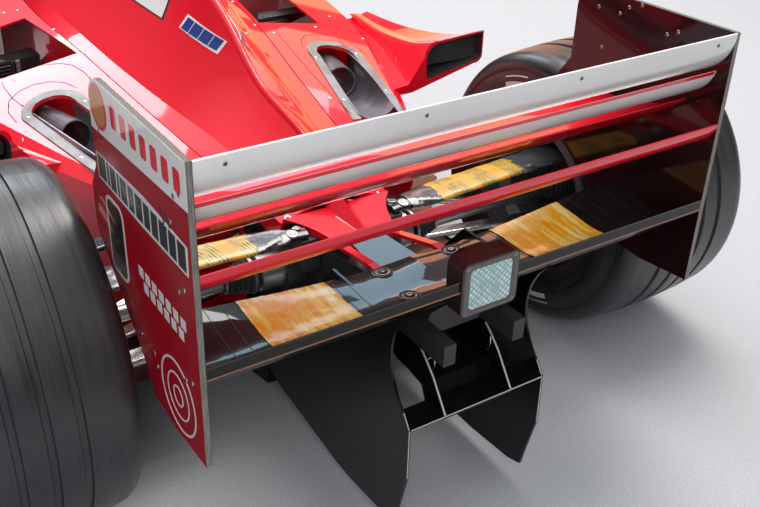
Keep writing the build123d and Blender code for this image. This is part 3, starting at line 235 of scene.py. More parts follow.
@dataclass
class EffectLibrary:
    """Builds each shared node group once."""

    groups: dict[Effect, Tree] = field(default_factory=dict)

    def group(self, effect: Effect) -> Tree:
        """Give a group, and build it at its first use.

        Args:
            effect: Which group.

        Returns:
            The group's node tree.
        """
        if effect not in self.groups:
            builders = {
                Effect.DUST: self._dust, Effect.GRAIN: self._grain, Effect.WEAVE: self._weave,
                Effect.WAVES: self._waves, Effect.BRUSH: self._brush,
            }
            self.groups[effect] = builders[effect]()
        return self.groups[effect]

    def use(self, wiring: Wiring, effect: Effect, **values: object) -> Node:
        """Place a group in a material, and feed its inputs."""
        return wiring.add("ShaderNodeGroup", values, node_tree=self.group(effect))

    def dust(self, wiring: Wiring, place: Socket, scale: float, cover: float) -> Socket:
        """Place the dust in a material, and give its mask."""
        return self.use(wiring, Effect.DUST, Place=place, Scale=scale, Cover=cover).outputs["Mask"]

    def height(self, wiring: Wiring, effect: Effect, place: Socket, scale: float) -> Socket:
        """Place a group for the sake of its height, and give that."""
        return self.use(wiring, effect, Place=place, Scale=scale).outputs["Height"]

    def _start(self, effect: Effect, inputs: dict[str, float],
               outputs: tuple[str, ...]) -> tuple[Wiring, Node, Node]:
        """Make an empty group with its sockets.

        Args:
            effect: Which group.
            inputs: Names and values of the number inputs.
            outputs: Names of the number outputs.

        Returns:
            The wiring, the input node and the output node.
        """
        tree = bpy.data.node_groups.new(effect.value, "ShaderNodeTree")
        tree.interface.new_socket("Place", in_out="INPUT", socket_type="NodeSocketVector")
        for name, value in inputs.items():
            socket = tree.interface.new_socket(name, in_out="INPUT", socket_type="NodeSocketFloat")
            socket.default_value = value
        for name in outputs:
            tree.interface.new_socket(name, in_out="OUTPUT", socket_type="NodeSocketFloat")
        wiring = Wiring(tree)
        return wiring, wiring.add("NodeGroupInput"), wiring.add("NodeGroupOutput")

    def _dust(self) -> Tree:
        """Build patchy dust: a broad and a fine noise, multiplied."""
        wiring, start, end = self._start(Effect.DUST, {"Scale": 4.0, "Cover": 0.4}, ("Mask",))
        place = start.outputs["Place"]
        patch = wiring.span(wiring.noise(place, start.outputs["Scale"], 4.0, 0.6), 0.35, 0.75)
        speck = wiring.span(wiring.noise(place, 240.0, 3.0, 0.6), 0.3, 0.7, 0.6, 1.0)
        mask = wiring.times(wiring.times(patch, speck), start.outputs["Cover"])
        wiring.feed(end.inputs["Mask"], mask)
        return wiring.tree

    def _grain(self) -> Tree:
        """Build moulded or cast grain."""
        wiring, start, end = self._start(Effect.GRAIN, {"Scale": 600.0}, ("Height", "Tone"))
        fine = wiring.noise(start.outputs["Place"], start.outputs["Scale"], 4.0, 0.6)
        wiring.feed(end.inputs["Height"], fine)
        wiring.feed(end.inputs["Tone"], wiring.span(fine, 0.35, 0.65))
        return wiring.tree

    def _weave(self) -> Tree:
        """Build two by two twill: tows that pass over two and under two."""
        wiring, start, end = self._start(Effect.WEAVE, {"Tows": 450.0}, ("Height", "Tone"))
        x, y, z = wiring.axes(start.outputs["Place"])
        along = wiring.times(wiring.plus(x, wiring.times(z, 0.35)), start.outputs["Tows"])
        across = wiring.times(wiring.plus(y, z), start.outputs["Tows"])
        step = wiring.plus(wiring.math("FLOOR", along), wiring.math("FLOOR", across))
        over = wiring.math("LESS_THAN", wiring.math("FLOORED_MODULO", step, 4.0), 1.5)
        turns = [wiring.times(wiring.math("FRACT", way), math.pi) for way in (along, across)]
        humps = [wiring.math("SINE", turn) for turn in turns]
        height = wiring.add("ShaderNodeMix", {0: over, 2: humps[0], 3: humps[1]}, data_type="FLOAT")
        wiring.feed(end.inputs["Height"], height.outputs[0])
        wiring.feed(end.inputs["Tone"], wiring.span(over, 0.0, 1.0, 0.25, 1.0))
        return wiring.tree

    def _waves(self) -> Tree:
        """Build the slow waves of a hand laid panel."""
        wiring, start, end = self._start(Effect.WAVES, {"Scale": 5.0}, ("Height",))
        slow = wiring.noise(start.outputs["Place"], start.outputs["Scale"], 1.0, 0.4)
        wiring.feed(end.inputs["Height"], slow)
        return wiring.tree

    def _brush(self) -> Tree:
        """Build fine lines that run along x."""
        wiring, start, end = self._start(Effect.BRUSH, {"Scale": 900.0}, ("Height", "Tone"))
        along = wiring.stretch(start.outputs["Place"], (0.03, 1.0, 1.0))
        lines = wiring.noise(along, start.outputs["Scale"], 3.0, 0.6)
        wiring.feed(end.inputs["Height"], lines)
        wiring.feed(end.inputs["Tone"], wiring.span(lines, 0.3, 0.7))
        return wiring.tree


EFFECTS = EffectLibrary()


@dataclass(frozen=True)
class Gloss:
    """Values of the shader that are the same all over a surface."""

    coat: float = 0.0
    coat_roughness: float = 0.04
    metallic: float = 0.0
    specular: float = 0.5
    transmission: float = 0.0


class Surface(NamedTuple):
    """Sockets that vary over a surface."""

    colour: Socket
    roughness: Socket
    normal: Socket | None = None


@dataclass(frozen=True)
class Finish:
    """What every finish has: a name and its gloss."""

    name: str
    gloss: Gloss = Gloss()

    def build(self) -> bpy.types.Material:
        """Make the material.

        Returns:
            The finished material.
        """
        material = bpy.data.materials.new(self.name)
        material.use_nodes = True
        wiring = Wiring(material.node_tree)
        shader = material.node_tree.nodes["Principled BSDF"]
        gloss = self.gloss
        values = {
            "Coat Weight": gloss.coat, "Coat Roughness": gloss.coat_roughness, "Metallic": gloss.metallic,
            "Specular IOR Level": gloss.specular, "Transmission Weight": gloss.transmission, "IOR": 1.5,
        }
        for name, value in values.items():
            shader.inputs[name].default_value = value
        for name, socket in zip(("Base Color", "Roughness", "Normal"), self.wire(wiring)):
            wiring.feed(shader.inputs[name], socket)
        return material

    def wire(self, wiring: Wiring) -> Surface:
        """Wire what varies over the surface, and give its sockets."""
        raise NotImplementedError


@dataclass(frozen=True)
class Paint(Finish):
    """Gloss paint on hand laid panels, which drifts towards a second colour, its shade."""

    colour: Colour = (0.6, 0.01, 0.01)
    shade: Colour = (0.5, 0.008, 0.008)
    dust: float = 0.05

    def wire(self, wiring: Wiring) -> Surface:
        """Wire the drift of colour, the dust and the panel waves.

        Args:
            wiring: The material's wiring.

        Returns:
            The surface's sockets.
        """
        place = wiring.place()
        drift = wiring.span(wiring.noise(place, 2.5, 2.0), 0.35, 0.65)
        paint = wiring.mix(drift, self.colour, self.shade)
        dust = EFFECTS.dust(wiring, place, 5.0, self.dust)
        waves = wiring.bump(EFFECTS.height(wiring, Effect.WAVES, place, 6.0), 0.004, 0.35)
        peel = wiring.bump(EFFECTS.height(wiring, Effect.GRAIN, place, 320.0), 0.00004, 0.5, waves)
        return Surface(wiring.mix(dust, paint, PALE_DUST), wiring.span(dust, 0.0, 0.4, 0.3, 0.6), peel)


@dataclass(frozen=True)
class Composite(Finish):
    """Carbon twill of dark and light tows under resin."""

    dark: Colour = (0.008, 0.008, 0.009)
    light: Colour = (0.03, 0.03, 0.033)
    roughness: float = 0.3
    dust: float = 0.12

    def wire(self, wiring: Wiring) -> Surface:
        """Wire the weave, the dust and the panel waves.

        Args:
            wiring: The material's wiring.

        Returns:
            The surface's sockets.
        """
        place = wiring.place()
        weave = EFFECTS.use(wiring, Effect.WEAVE, Place=place, Tows=450.0)
        cloth = wiring.mix(weave.outputs["Tone"], self.dark, self.light)
        dust = EFFECTS.dust(wiring, place, 7.0, self.dust)
        waves = wiring.bump(EFFECTS.height(wiring, Effect.WAVES, place, 8.0), 0.003, 0.3)
        tows = wiring.bump(weave.outputs["Height"], 0.00008, 0.4, waves)
        rough = wiring.span(dust, 0.0, 0.4, self.roughness, 0.7)
        return Surface(wiring.mix(dust, cloth, GREY_DUST), rough, tows)


@dataclass(frozen=True)
class Metal(Finish):
    """Bare metal with brushed lines, so many to the metre, and heat or dirt in patches."""

    colour: Colour = (0.5, 0.5, 0.5)
    patch: Colour = (0.3, 0.28, 0.27)
    roughness: float = 0.25
    brush: float = 900.0

    def wire(self, wiring: Wiring) -> Surface:
        """Wire the lines and patches.

        Args:
            wiring: The material's wiring.

        Returns:
            The surface's sockets.
        """
        place = wiring.place()
        brush = EFFECTS.use(wiring, Effect.BRUSH, Place=place, Scale=self.brush)
        patch = wiring.span(wiring.noise(place, 14.0, 4.0, 0.6), 0.4, 0.7)
        lined = wiring.plus(wiring.times(brush.outputs["Tone"], 0.12), self.roughness)
        rough = wiring.plus(lined, wiring.times(patch, 0.12))
        return Surface(wiring.mix(patch, self.colour, self.patch), rough,
                       wiring.bump(brush.outputs["Height"], 0.00006, 0.5))


@dataclass(frozen=True)
class Grained(Finish):
    """Moulded, cast or padded surface with a grain, so many to the metre and so many metres deep."""

    colour: Colour = (0.03, 0.03, 0.03)
    worn: Colour = (0.16, 0.15, 0.14)
    roughness: float = 0.6
    scale: float = 700.0
    depth: float = 0.0002
    dust: float = 0.3

    def wire(self, wiring: Wiring) -> Surface:
        """Wire the grain and the dust.

        Args:
            wiring: The material's wiring.

        Returns:
            The surface's sockets.
        """
        place = wiring.place()
        grain = EFFECTS.use(wiring, Effect.GRAIN, Place=place, Scale=self.scale)
        dust = EFFECTS.dust(wiring, place, 9.0, self.dust)
        rough = wiring.plus(wiring.times(grain.outputs["Tone"], 0.1), self.roughness)
        return Surface(wiring.mix(dust, self.colour, self.worn), rough,
                       wiring.bump(grain.outputs["Height"], self.depth, 0.6))


@dataclass(frozen=True)
class TyreRubber(Finish):
    """Tyre rubber, scuffed in rings round the wheel's centre and dusty on its wall."""

    centre: Triple = (0.0, 0.0, 0.0)
    radius: float = 0.325
    clean: Colour = (0.007, 0.007, 0.008)
    scuffed: Colour = (0.024, 0.025, 0.028)
    worn: Colour = (0.05, 0.052, 0.057)
    dusty: Colour = (0.13, 0.13, 0.125)

    def wire(self, wiring: Wiring) -> Surface:
        """Wire the scuffs, which are noise in rings about the axle, and the dust.

        Args:
            wiring: The material's wiring.

        Returns:
            The surface's sockets.
        """
        place = wiring.place()
        x, y, z = wiring.axes(place)
        ahead = wiring.math("SUBTRACT", y, self.centre[1])
        above = wiring.math("SUBTRACT", z, self.centre[2])
        reach = wiring.math("SQRT", wiring.plus(wiring.times(ahead, ahead), wiring.times(above, above)))
        turn = wiring.math("ARCTAN2", above, ahead)
        ring = wiring.fed("ShaderNodeCombineXYZ", wiring.times(x, 90.0), wiring.times(reach, 90.0),
                          wiring.times(turn, 1.2))
        scuff = wiring.span(wiring.noise(ring.outputs[0], 1.0, 4.0, 0.65), 0.35, 0.7)
        dust = wiring.times(EFFECTS.dust(wiring, place, 7.0, 0.8), 0.16)
        tread = wiring.times(wiring.span(reach, self.radius - 0.03, self.radius - 0.008), 0.35)
        worn = wiring.mix(tread, wiring.mix(scuff, self.clean, self.scuffed), self.worn)
        grain = EFFECTS.height(wiring, Effect.GRAIN, place, 900.0)
        return Surface(wiring.mix(dust, worn, self.dusty), wiring.span(scuff, 0.0, 1.0, 0.26, 0.46),
                       wiring.bump(grain, 0.0002, 0.6, wiring.bump(scuff, 0.0004, 0.5)))


@dataclass(frozen=True)
class HeatFilm(Finish):
    """Amber heat film, smoothed on along the wing's chord and creased, with pale patches of painted highlight
    and painted shade along its creases.
    """

    deep: Colour = (0.95, 0.36, 0.002)
    amber: Colour = (1.0, 0.72, 0.06)
    # Painted highlight: pale stands for the film's bright reflections.
    pale: Colour = (1.0, 0.84, 0.52)
    # Painted shade along the creases.
    crease_shade: Colour = (0.42, 0.13, 0.004)

    def wire(self, wiring: Wiring) -> Surface:
        """Wire the streaks, the creases with their painted shade and the pale patches of painted highlight.

        Args:
            wiring: The material's wiring.

        Returns:
            The surface's sockets.
        """
        place = wiring.place()
        streak = wiring.noise(wiring.stretch(place, (1.0, 0.11, 0.11)), 75.0, 5.0, 0.62)
        cloud = wiring.noise(wiring.stretch(place, (1.0, 0.45, 0.45)), 17.0, 3.0, 0.55)
        both = wiring.plus(wiring.times(streak, 0.6), wiring.times(cloud, 0.4))
        amber = wiring.mix(wiring.span(both, 0.43, 0.54), self.deep, self.amber)
        # Painted highlight: pale patches where the streaks and clouds are high.
        pale = wiring.mix(wiring.span(both, 0.51, 0.59, 0.0, 0.8), amber, self.pale)
        crack = wiring.math("ABSOLUTE", wiring.math("SUBTRACT", streak, 0.485))
        # Painted shade: the colour darkens along each crease.
        fold = wiring.span(crack, 0.0, 0.009, 0.7, 0.0)
        return Surface(wiring.mix(fold, pale, self.crease_shade), wiring.span(streak, 0.35, 0.65, 0.16, 0.4),
                       wiring.bump(streak, 0.0011, 0.7, wiring.bump(cloud, 0.0025, 0.5)))


@dataclass(frozen=True)
class StripedTape(Finish):
    """Tape round an arm, with fine stripes and printed blocks, so many to the metre."""

    ground: Colour = (0.78, 0.36, 0.02)
    stained: Colour = (0.72, 0.3, 0.03)
    line: Colour = (0.05, 0.065, 0.012)
    block: Colour = (0.5, 0.36, 0.05)
    stripes: float = 135.0
    blocks: float = 12.6

    def wire(self, wiring: Wiring) -> Surface:
        """Wire the stripes, which cross the car, and the creases.

        Args:
            wiring: The material's wiring.

        Returns:
            The surface's sockets.
        """
        place = wiring.place()
        x, y, _ = wiring.axes(place)
        slant = wiring.plus(x, wiring.times(y, 0.25))
        smear = wiring.span(wiring.noise(place, 70.0, 4.0, 0.6), 0.3, 0.6)
        fine = wiring.math("LESS_THAN", wiring.repeat(slant, self.stripes), 0.5)
        printed = wiring.math("LESS_THAN", wiring.repeat(slant, self.blocks), 0.62)
        thin = wiring.times(wiring.times(fine, smear), printed)
        drift = wiring.span(wiring.noise(place, 22.0), 0.35, 0.65)
        plain = wiring.mix(drift, self.ground, self.stained)
        tape = wiring.mix(wiring.times(printed, 0.7), plain, self.block)
        return Surface(wiring.mix(thin, tape, self.line), wiring.span(smear, 0.0, 1.0, 0.25, 0.45),
                       wiring.bump(wiring.noise(place, 55.0, 4.0, 0.6), 0.0016, 0.6))


@dataclass(frozen=True)
class Finned(Finish):
    """Fine dark cooling fins and their tubes, so many to the metre, with painted shade in the grooves between
    the fins.
    """

    pitch: float = 120.0
    tubes: float = 60.0

    def wire(self, wiring: Wiring) -> Surface:
        """Wire the fins, which cross the core's height, each darkening into painted shade before the next.

        Args:
            wiring: The material's wiring.

        Returns:
            The surface's sockets.
        """
        x, y, z = wiring.axes(wiring.place())
        ridge = wiring.span(wiring.repeat(wiring.plus(y, z), self.pitch), 0.0, 0.5)
        tube = wiring.math("LESS_THAN", wiring.repeat(x, self.tubes), 0.2)
        # Painted shade: each fin darkens into the groove before the next.
        metal = wiring.mix(ridge, (0.01, 0.01, 0.01), (0.1, 0.095, 0.09))
        return Surface(wiring.mix(tube, metal, (0.2, 0.19, 0.18)), wiring.span(ridge, 0.0, 1.0, 0.7, 0.45),
                       wiring.bump(ridge, 0.0015, 0.7))


@dataclass(frozen=True)
class Lens(Finish):
    """Pale lens of the rain light, moulded in small diamonds, so many to the metre, with painted highlight on
    their ridges and painted shade in their grooves.
    """

    pitch: float = 90.0

    def wire(self, wiring: Wiring) -> Surface:
        """Wire the diamonds, which are two slanting sets of ridges, with painted highlight on the ridges and
        painted shade in the grooves.

        Args:
            wiring: The material's wiring.

        Returns:
            The surface's sockets.
        """
        place = wiring.place()
        x, _, z = wiring.axes(place)
        ridges = []
        for slant in ("ADD", "SUBTRACT"):
            wave = wiring.math("SINE", wiring.times(wiring.math(slant, x, z), self.pitch * math.pi))
            ridges.append(wiring.math("ABSOLUTE", wave))
        height = wiring.times(*ridges)
        tint = wiring.span(wiring.noise(place, 70.0, 2.0), 0.35, 0.65, 0.35, 1.0)
        # Painted highlight and shade: paler where the ridges are high, darker in the grooves.
        tone = wiring.times(wiring.span(height, 0.0, 0.9), tint)
        return Surface(wiring.mix(tone, (0.2, 0.4, 0.4), (0.85, 0.95, 0.93)),
                       wiring.span(tone, 0.0, 1.0, 0.3, 0.12), wiring.bump(height, 0.002, 0.8))


@dataclass(frozen=True)
class EndplatePaint(Finish):
    """Wing endplate: painted outside with a pale band on top, dark inside, bare on its edges. The outside's
    red is painted shade, a darker copy of the body's red paint.

    The band starts at band_z at the rear edge, and rises by band_slope for each metre aft.
    """

    outer: float = 0.4995
    inner: float = 0.4905
    rear: float = REAR_AXLE_Y + 0.475
    band_z: float = 0.771
    band_slope: float = 0.052
    # Painted shade: a darker copy of the red paint, because the plates lie in shade.
    red: Colour = (0.36, 0.0015, 0.012)
    band: Colour = (0.8, 0.79, 0.78)

    def wire(self, wiring: Wiring) -> Surface:
        """Wire the faces by their place across the car, and the paint's waves.

        Args:
            wiring: The material's wiring.

        Returns:
            The surface's sockets.
        """
        place = wiring.place()
        x, y, z = wiring.axes(place)
        off = wiring.math("ABSOLUTE", x)
        outside = wiring.math("GREATER_THAN", off, self.outer)
        inside = wiring.math("LESS_THAN", off, self.inner)
        rise = wiring.times(wiring.math("SUBTRACT", y, self.rear), self.band_slope)
        pale = wiring.math("GREATER_THAN", wiring.math("SUBTRACT", z, rise), self.band_z)
        grain = wiring.span(wiring.noise(wiring.stretch(place, (1.0, 1.0, 0.05)), 500.0), 0.35, 0.65)
        bare = wiring.mix(grain, (0.12, 0.115, 0.1), (0.24, 0.23, 0.2))
        drift = wiring.span(wiring.noise(place, 4.0), 0.3, 0.7)
        lining = wiring.mix(drift, (0.012, 0.003, 0.004), (0.024, 0.003, 0.005))
        paint = wiring.mix(pale, self.red, self.band)
        colour = wiring.mix(outside, wiring.mix(inside, bare, lining), paint)
        dust = EFFECTS.dust(wiring, place, 6.0, 0.02)
        waves = EFFECTS.height(wiring, Effect.WAVES, place, 5.0)
        return Surface(wiring.mix(dust, colour, (0.4, 0.37, 0.33)), wiring.span(dust, 0.0, 0.4, 0.3, 0.6),
                       wiring.bump(waves, 0.003, 0.3))


@dataclass(frozen=True)
class Floor(Finish):
    """Plain pale studio floor with a faint speckle."""

    def wire(self, wiring: Wiring) -> Surface:
        """Wire the speckle.

        Args:
            wiring: The material's wiring.

        Returns:
            The surface's sockets.
        """
        speck = wiring.span(wiring.noise(wiring.place(), 260.0, 3.0, 0.7), 0.35, 0.65)
        return Surface(wiring.mix(speck, (0.34, 0.35, 0.37), (0.47, 0.48, 0.5)),
                       wiring.span(speck, 0.0, 1.0, 0.75, 0.9))


def grey(tone: float, blue: float = 0.0) -> Colour:
    """Give a grey, with a little more blue where asked."""
    return (tone, tone, tone + blue)


SHINE = Gloss(coat=1.0, coat_roughness=0.03, specular=0.1)
RED_PAINT = Paint("scarlet_paint", SHINE, (0.82, 0.002, 0.022), (0.74, 0.002, 0.016), dust=0.02)
WHITE_PAINT = Paint("white_paint", SHINE, (0.82, 0.81, 0.79), (0.76, 0.75, 0.74), dust=0.12)
BLUE_PAINT = Paint("blue_paint", SHINE, (0.01, 0.035, 0.2), (0.012, 0.04, 0.24))
BLACK_PAINT = Paint("black_paint", SHINE, grey(0.01, 0.001), grey(0.014, 0.001))
SHELL_CARBON = Composite(
    "clear_coated_carbon", SHINE, grey(0.003, 0.0005), grey(0.011, 0.001), roughness=0.22, dust=0.04)
BLACK_GLOSS = Composite("lacquered_carbon", Gloss(coat=0.55, coat_roughness=0.07, specular=0.1),
                        grey(0.002), grey(0.004, 0.0005), dust=0.01)
SATIN_CARBON = Composite("satin_carbon", Gloss(coat=0.5, coat_roughness=0.2), grey(0.004, 0.001),
                         grey(0.009, 0.001), roughness=0.4, dust=0.05)
EDGE_GREY = Metal("cut_edge", Gloss(metallic=0.6), grey(0.42, 0.01), grey(0.25, 0.01))
CHROME = Metal("bright_fastener", Gloss(metallic=1.0), grey(0.7, 0.02), grey(0.45, 0.01), roughness=0.12)
PIPE_METAL = Metal("burnt_pipe", Gloss(metallic=0.9), (0.2, 0.16, 0.17), (0.1, 0.085, 0.1), roughness=0.35)
TROUGH_METAL = Metal("exhaust_trough", Gloss(metallic=0.7), (0.3, 0.28, 0.33), (0.13, 0.11, 0.13),
                     roughness=0.3, brush=300.0)
RING_METAL = Metal("exhaust_surround", Gloss(metallic=0.5), grey(0.27, 0.01), grey(0.16), roughness=0.48,
                   brush=500.0)
ALLOY = Metal("polished_alloy", Gloss(metallic=1.0), (0.62, 0.63, 0.62), (0.35, 0.36, 0.34), roughness=0.16)
STEEL = Metal("machined_steel", Gloss(metallic=0.95), (0.42, 0.41, 0.4), (0.2, 0.19, 0.18), roughness=0.28)
RIM_METAL = Metal("painted_rim", Gloss(coat=0.4, metallic=0.6), grey(0.17, 0.01), grey(0.1), roughness=0.35)
MIRROR_GLASS = Metal("mirror_glass", Gloss(metallic=1.0), (0.8, 0.82, 0.84), (0.74, 0.76, 0.78),
                     roughness=0.04, brush=60.0)
CASTING = Grained("dark_casting", Gloss(metallic=0.5), grey(0.045, 0.005), (0.13, 0.12, 0.11), 0.42, 500.0)
SEAM_DARK = Grained("seam_shadow", colour=(0.012, 0.006, 0.006), roughness=0.8, dust=0.1)
PADDING = Grained("padding", colour=grey(0.02, 0.002), roughness=0.7, scale=1100.0, depth=0.0004)
SOFT_BLACK = Grained("black_rubber", colour=grey(0.012, 0.001), roughness=0.5, scale=500.0, dust=0.2)
MAROON_PLASTIC = Grained("lamp_housing", Gloss(coat=0.4, coat_roughness=0.1), (0.016, 0.004, 0.006),
                         (0.09, 0.06, 0.06), 0.3, 500.0, 0.0001)
LAMP_RIM = Grained("lamp_rim", Gloss(coat=0.7, coat_roughness=0.1), (0.05, 0.04, 0.035), (0.14, 0.12, 0.11),
                   0.3, 420.0, 0.0001)
WHITE_INK = Grained("pale_ink", colour=(0.72, 0.71, 0.68), worn=(0.4, 0.38, 0.35), roughness=0.5, dust=0.6)
AMBER_INK = Grained("amber_ink", Gloss(coat=0.6), (0.6, 0.2, 0.01), (0.4, 0.12, 0.01), 0.35, 240.0, dust=0.5)
BROWN_EDGE = Grained("resin_edge", Gloss(coat=0.5), (0.22, 0.08, 0.03), (0.3, 0.2, 0.12), 0.35)
BARE_EDGE = Grained("bare_edge", Gloss(coat=0.4), (0.5, 0.5, 0.48), (0.25, 0.24, 0.22), 0.4, 900.0)
BELT_RED = Grained("belt_webbing", colour=(0.35, 0.01, 0.012), roughness=0.75, scale=1600.0, depth=0.0004)
PLANK_WOOD = Grained("skid_plank", colour=(0.09, 0.06, 0.04), roughness=0.7, scale=300.0)
SLEEVE = Grained("shrunk_sleeve", Gloss(coat=0.9, coat_roughness=0.1), (0.035, 0.037, 0.042),
                 (0.12, 0.12, 0.125), 0.28, 75.0, 0.0022, 0.4)
CLEAR_SCREEN = Grained("tinted_screen", Gloss(transmission=0.9), grey(0.3, 0.02), roughness=0.05, dust=0.05)
AMBER_FILM = HeatFilm("amber_heat_film", Gloss(coat=0.8, coat_roughness=0.12))
GOLD_TAPE = StripedTape("striped_tape", Gloss(coat=0.5, coat_roughness=0.15))
FIN_CORE = Finned("radiator_fins", Gloss(metallic=0.3))
LAMP_LENS = Lens("lamp_lens", Gloss(coat=1.0))
WING_PLATE = EndplatePaint("wing_plate", Gloss(coat=0.6, coat_roughness=0.05, specular=0.05))
STUDIO_FLOOR = Floor("studio_floor")


@cache
def painted(finish: Finish) -> bpy.types.Material:
    """Give a finish's material, which is made once."""
    return finish.build()


def heading(line: list[Vector], index: int) -> Vector:
    """Give the way that a line runs at one of its points, from its neighbours."""
    return line[min(index + 1, len(line) - 1)] - line[max(index - 1, 0)]


def circle(centre: Vector, aside: Vector, up: Vector, radius: float, sides: int) -> list[Vector]:
    """Give a ring of points in the plane of two directions."""
    turns = [2 * math.pi * k / sides for k in range(sides)]
    return [centre + (aside * math.cos(t) + up * math.sin(t)) * radius for t in turns]


class Piece:
    """Mesh of one piece of trim, gathered from simple forms."""

    def __init__(self, name: str, smooth: float = 35.0) -> None:
        """Start an empty mesh.

        Args:
            name: Name of the piece.
            smooth: Greatest angle that still shades smooth, in degrees.
        """
        self.name = name
        self.smooth = smooth
        self.points: list[Vector] = []
        self.faces: list[tuple[int, ...]] = []
        self.tints: list[int] = []
        self.tint = 0

    def add(self, points: list[Vector], faces: list[tuple[int, ...]]) -> None:
        """Add points and the faces between them.

        Args:
            points: New points.
            faces: Faces that count from the first new point.
        """
        base = len(self.points)
        self.points.extend(points)
        self.faces.extend(tuple(base + i for i in face) for face in faces)
        self.tints.extend([self.tint] * len(faces))

    def rings(self, rings: list[list[Vector]], caps: bool = True) -> None:
        """Add a skin through closed rings of points.

        Args:
            rings: Rings with the same number of points.
            caps: Whether the two ends are filled.
        """
        count = len(rings[0])
        faces = []
        for r in range(len(rings) - 1):
            for i in range(count):
                j = (i + 1) % count
                faces.append((r * count + i, r * count + j, (r + 1) * count + j, (r + 1) * count + i))
        if caps:
            faces.append(tuple(reversed(range(count))))
            faces.append(tuple((len(rings) - 1) * count + i for i in range(count)))
        self.add([p for ring in rings for p in ring], faces)

    def tube(self, path: list[Vector], radii: float | list[float], sides: int = 12) -> None:
        """Add a round tube along a path.

        Args:
            path: Centre points.
            radii: Its radius, or one for each point.
            sides: Sides round it.
        """
        if not isinstance(radii, list):
            radii = [radii] * len(path)
        rings = []
        aside = heading(path, 0).normalized().orthogonal().normalized()
        for i, point in enumerate(path):
            ahead = heading(path, i).normalized()
            aside = (aside - ahead * aside.dot(ahead)).normalized()
            rings.append(circle(point, aside, ahead.cross(aside), radii[i], sides))
        self.rings(rings)

    def lathe(self, origin: Vector, axis: Vector, profile: Profile, sides: int, caps: bool = True) -> None:
        """Add a turned form.

        Args:
            origin: Point on its axis.
            axis: Direction of its axis.
            profile: Distances along the axis, and radii.
            sides: Sides round it.
            caps: Whether its two ends are filled.
        """
        ahead = axis.normalized()
        aside = ahead.orthogonal().normalized()
        up = ahead.cross(aside)
        self.rings([circle(origin + ahead * along, aside, up, max(radius, 1e-5), sides)
                    for along, radius in profile], caps)

    def prism(self, outline: list[Vector], depth: Vector) -> None:
        """Add a slab between an outline and its copy, which stands off by the depth."""
        self.rings([outline, [p + depth for p in outline]])

    def sheet(self, grid: list[list[Vector]], lifts: list[list[Vector]], thickness: float) -> None:
        """Add a thin sheet over a grid of points, closed round its rim.

        Args:
            grid: Rows of points of its top face.
            lifts: Normals at those points.
            thickness: How far its under face lies below.
        """
        rows, cols = len(grid), len(grid[0])
        top = [p for row in grid for p in row]
        under = [p - n * thickness for row, ns in zip(grid, lifts) for p, n in zip(row, ns)]
        faces = []
        size = rows * cols
        for r in range(rows - 1):
            for c in range(cols - 1):
                a, b = r * cols + c, r * cols + c + 1
                d, e = (r + 1) * cols + c, (r + 1) * cols + c + 1
                faces.append((a, b, e, d))
                faces.append((size + d, size + e, size + b, size + a))
        rim = (
            [(0, c) for c in range(cols)] + [(r, cols - 1) for r in range(1, rows)]
            + [(rows - 1, c) for c in range(cols - 2, -1, -1)] + [(r, 0) for r in range(rows - 2, 0, -1)]
        )
        ids = [r * cols + c for r, c in rim]
        for a, b in zip(ids, ids[1:] + ids[:1]):
            faces.append((a, size + a, size + b, b))
        self.add(top + under, faces)

    def ribbon(self, line: list[Vector], normals: list[Vector], width: float, thickness: float) -> None:
        """Add a narrow strip that lies along a line.

        Args:
            line: Its middle line.
            normals: Normals along the line.
            width: Its width.
            thickness: Its thickness.
        """
        rows = []
        for i, (point, normal) in enumerate(zip(line, normals)):
            aside = heading(line, i).normalized().cross(normal).normalized() * width / 2
            rows.append([point - aside, point + aside])
        self.sheet(rows, [[normal, normal] for normal in normals], thickness)

    def build(self, finishes: list[Finish], slot: Slot | None = None, body: Body = Body.CHASSIS) -> None:
        """Make the object, and let it ride on its body.

        Args:
            finishes: Finishes, in the order of the tints.
            slot: Material slot of the record; not used.
            body: Body that it rides on.
        """
        mesh = bpy.data.meshes.new(self.name)
        mesh.from_pydata(self.points, [], self.faces)
        mesh.update()
        for finish in finishes:
            mesh.materials.append(painted(finish))
        mesh.polygons.foreach_set("material_index", self.tints)
        mesh.shade_smooth()
        mesh.set_sharp_from_angle(angle=math.radians(self.smooth))
        piece = bpy.data.objects.new(self.name, mesh)
        bpy.context.scene.collection.objects.link(piece)
        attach(piece, body.value)


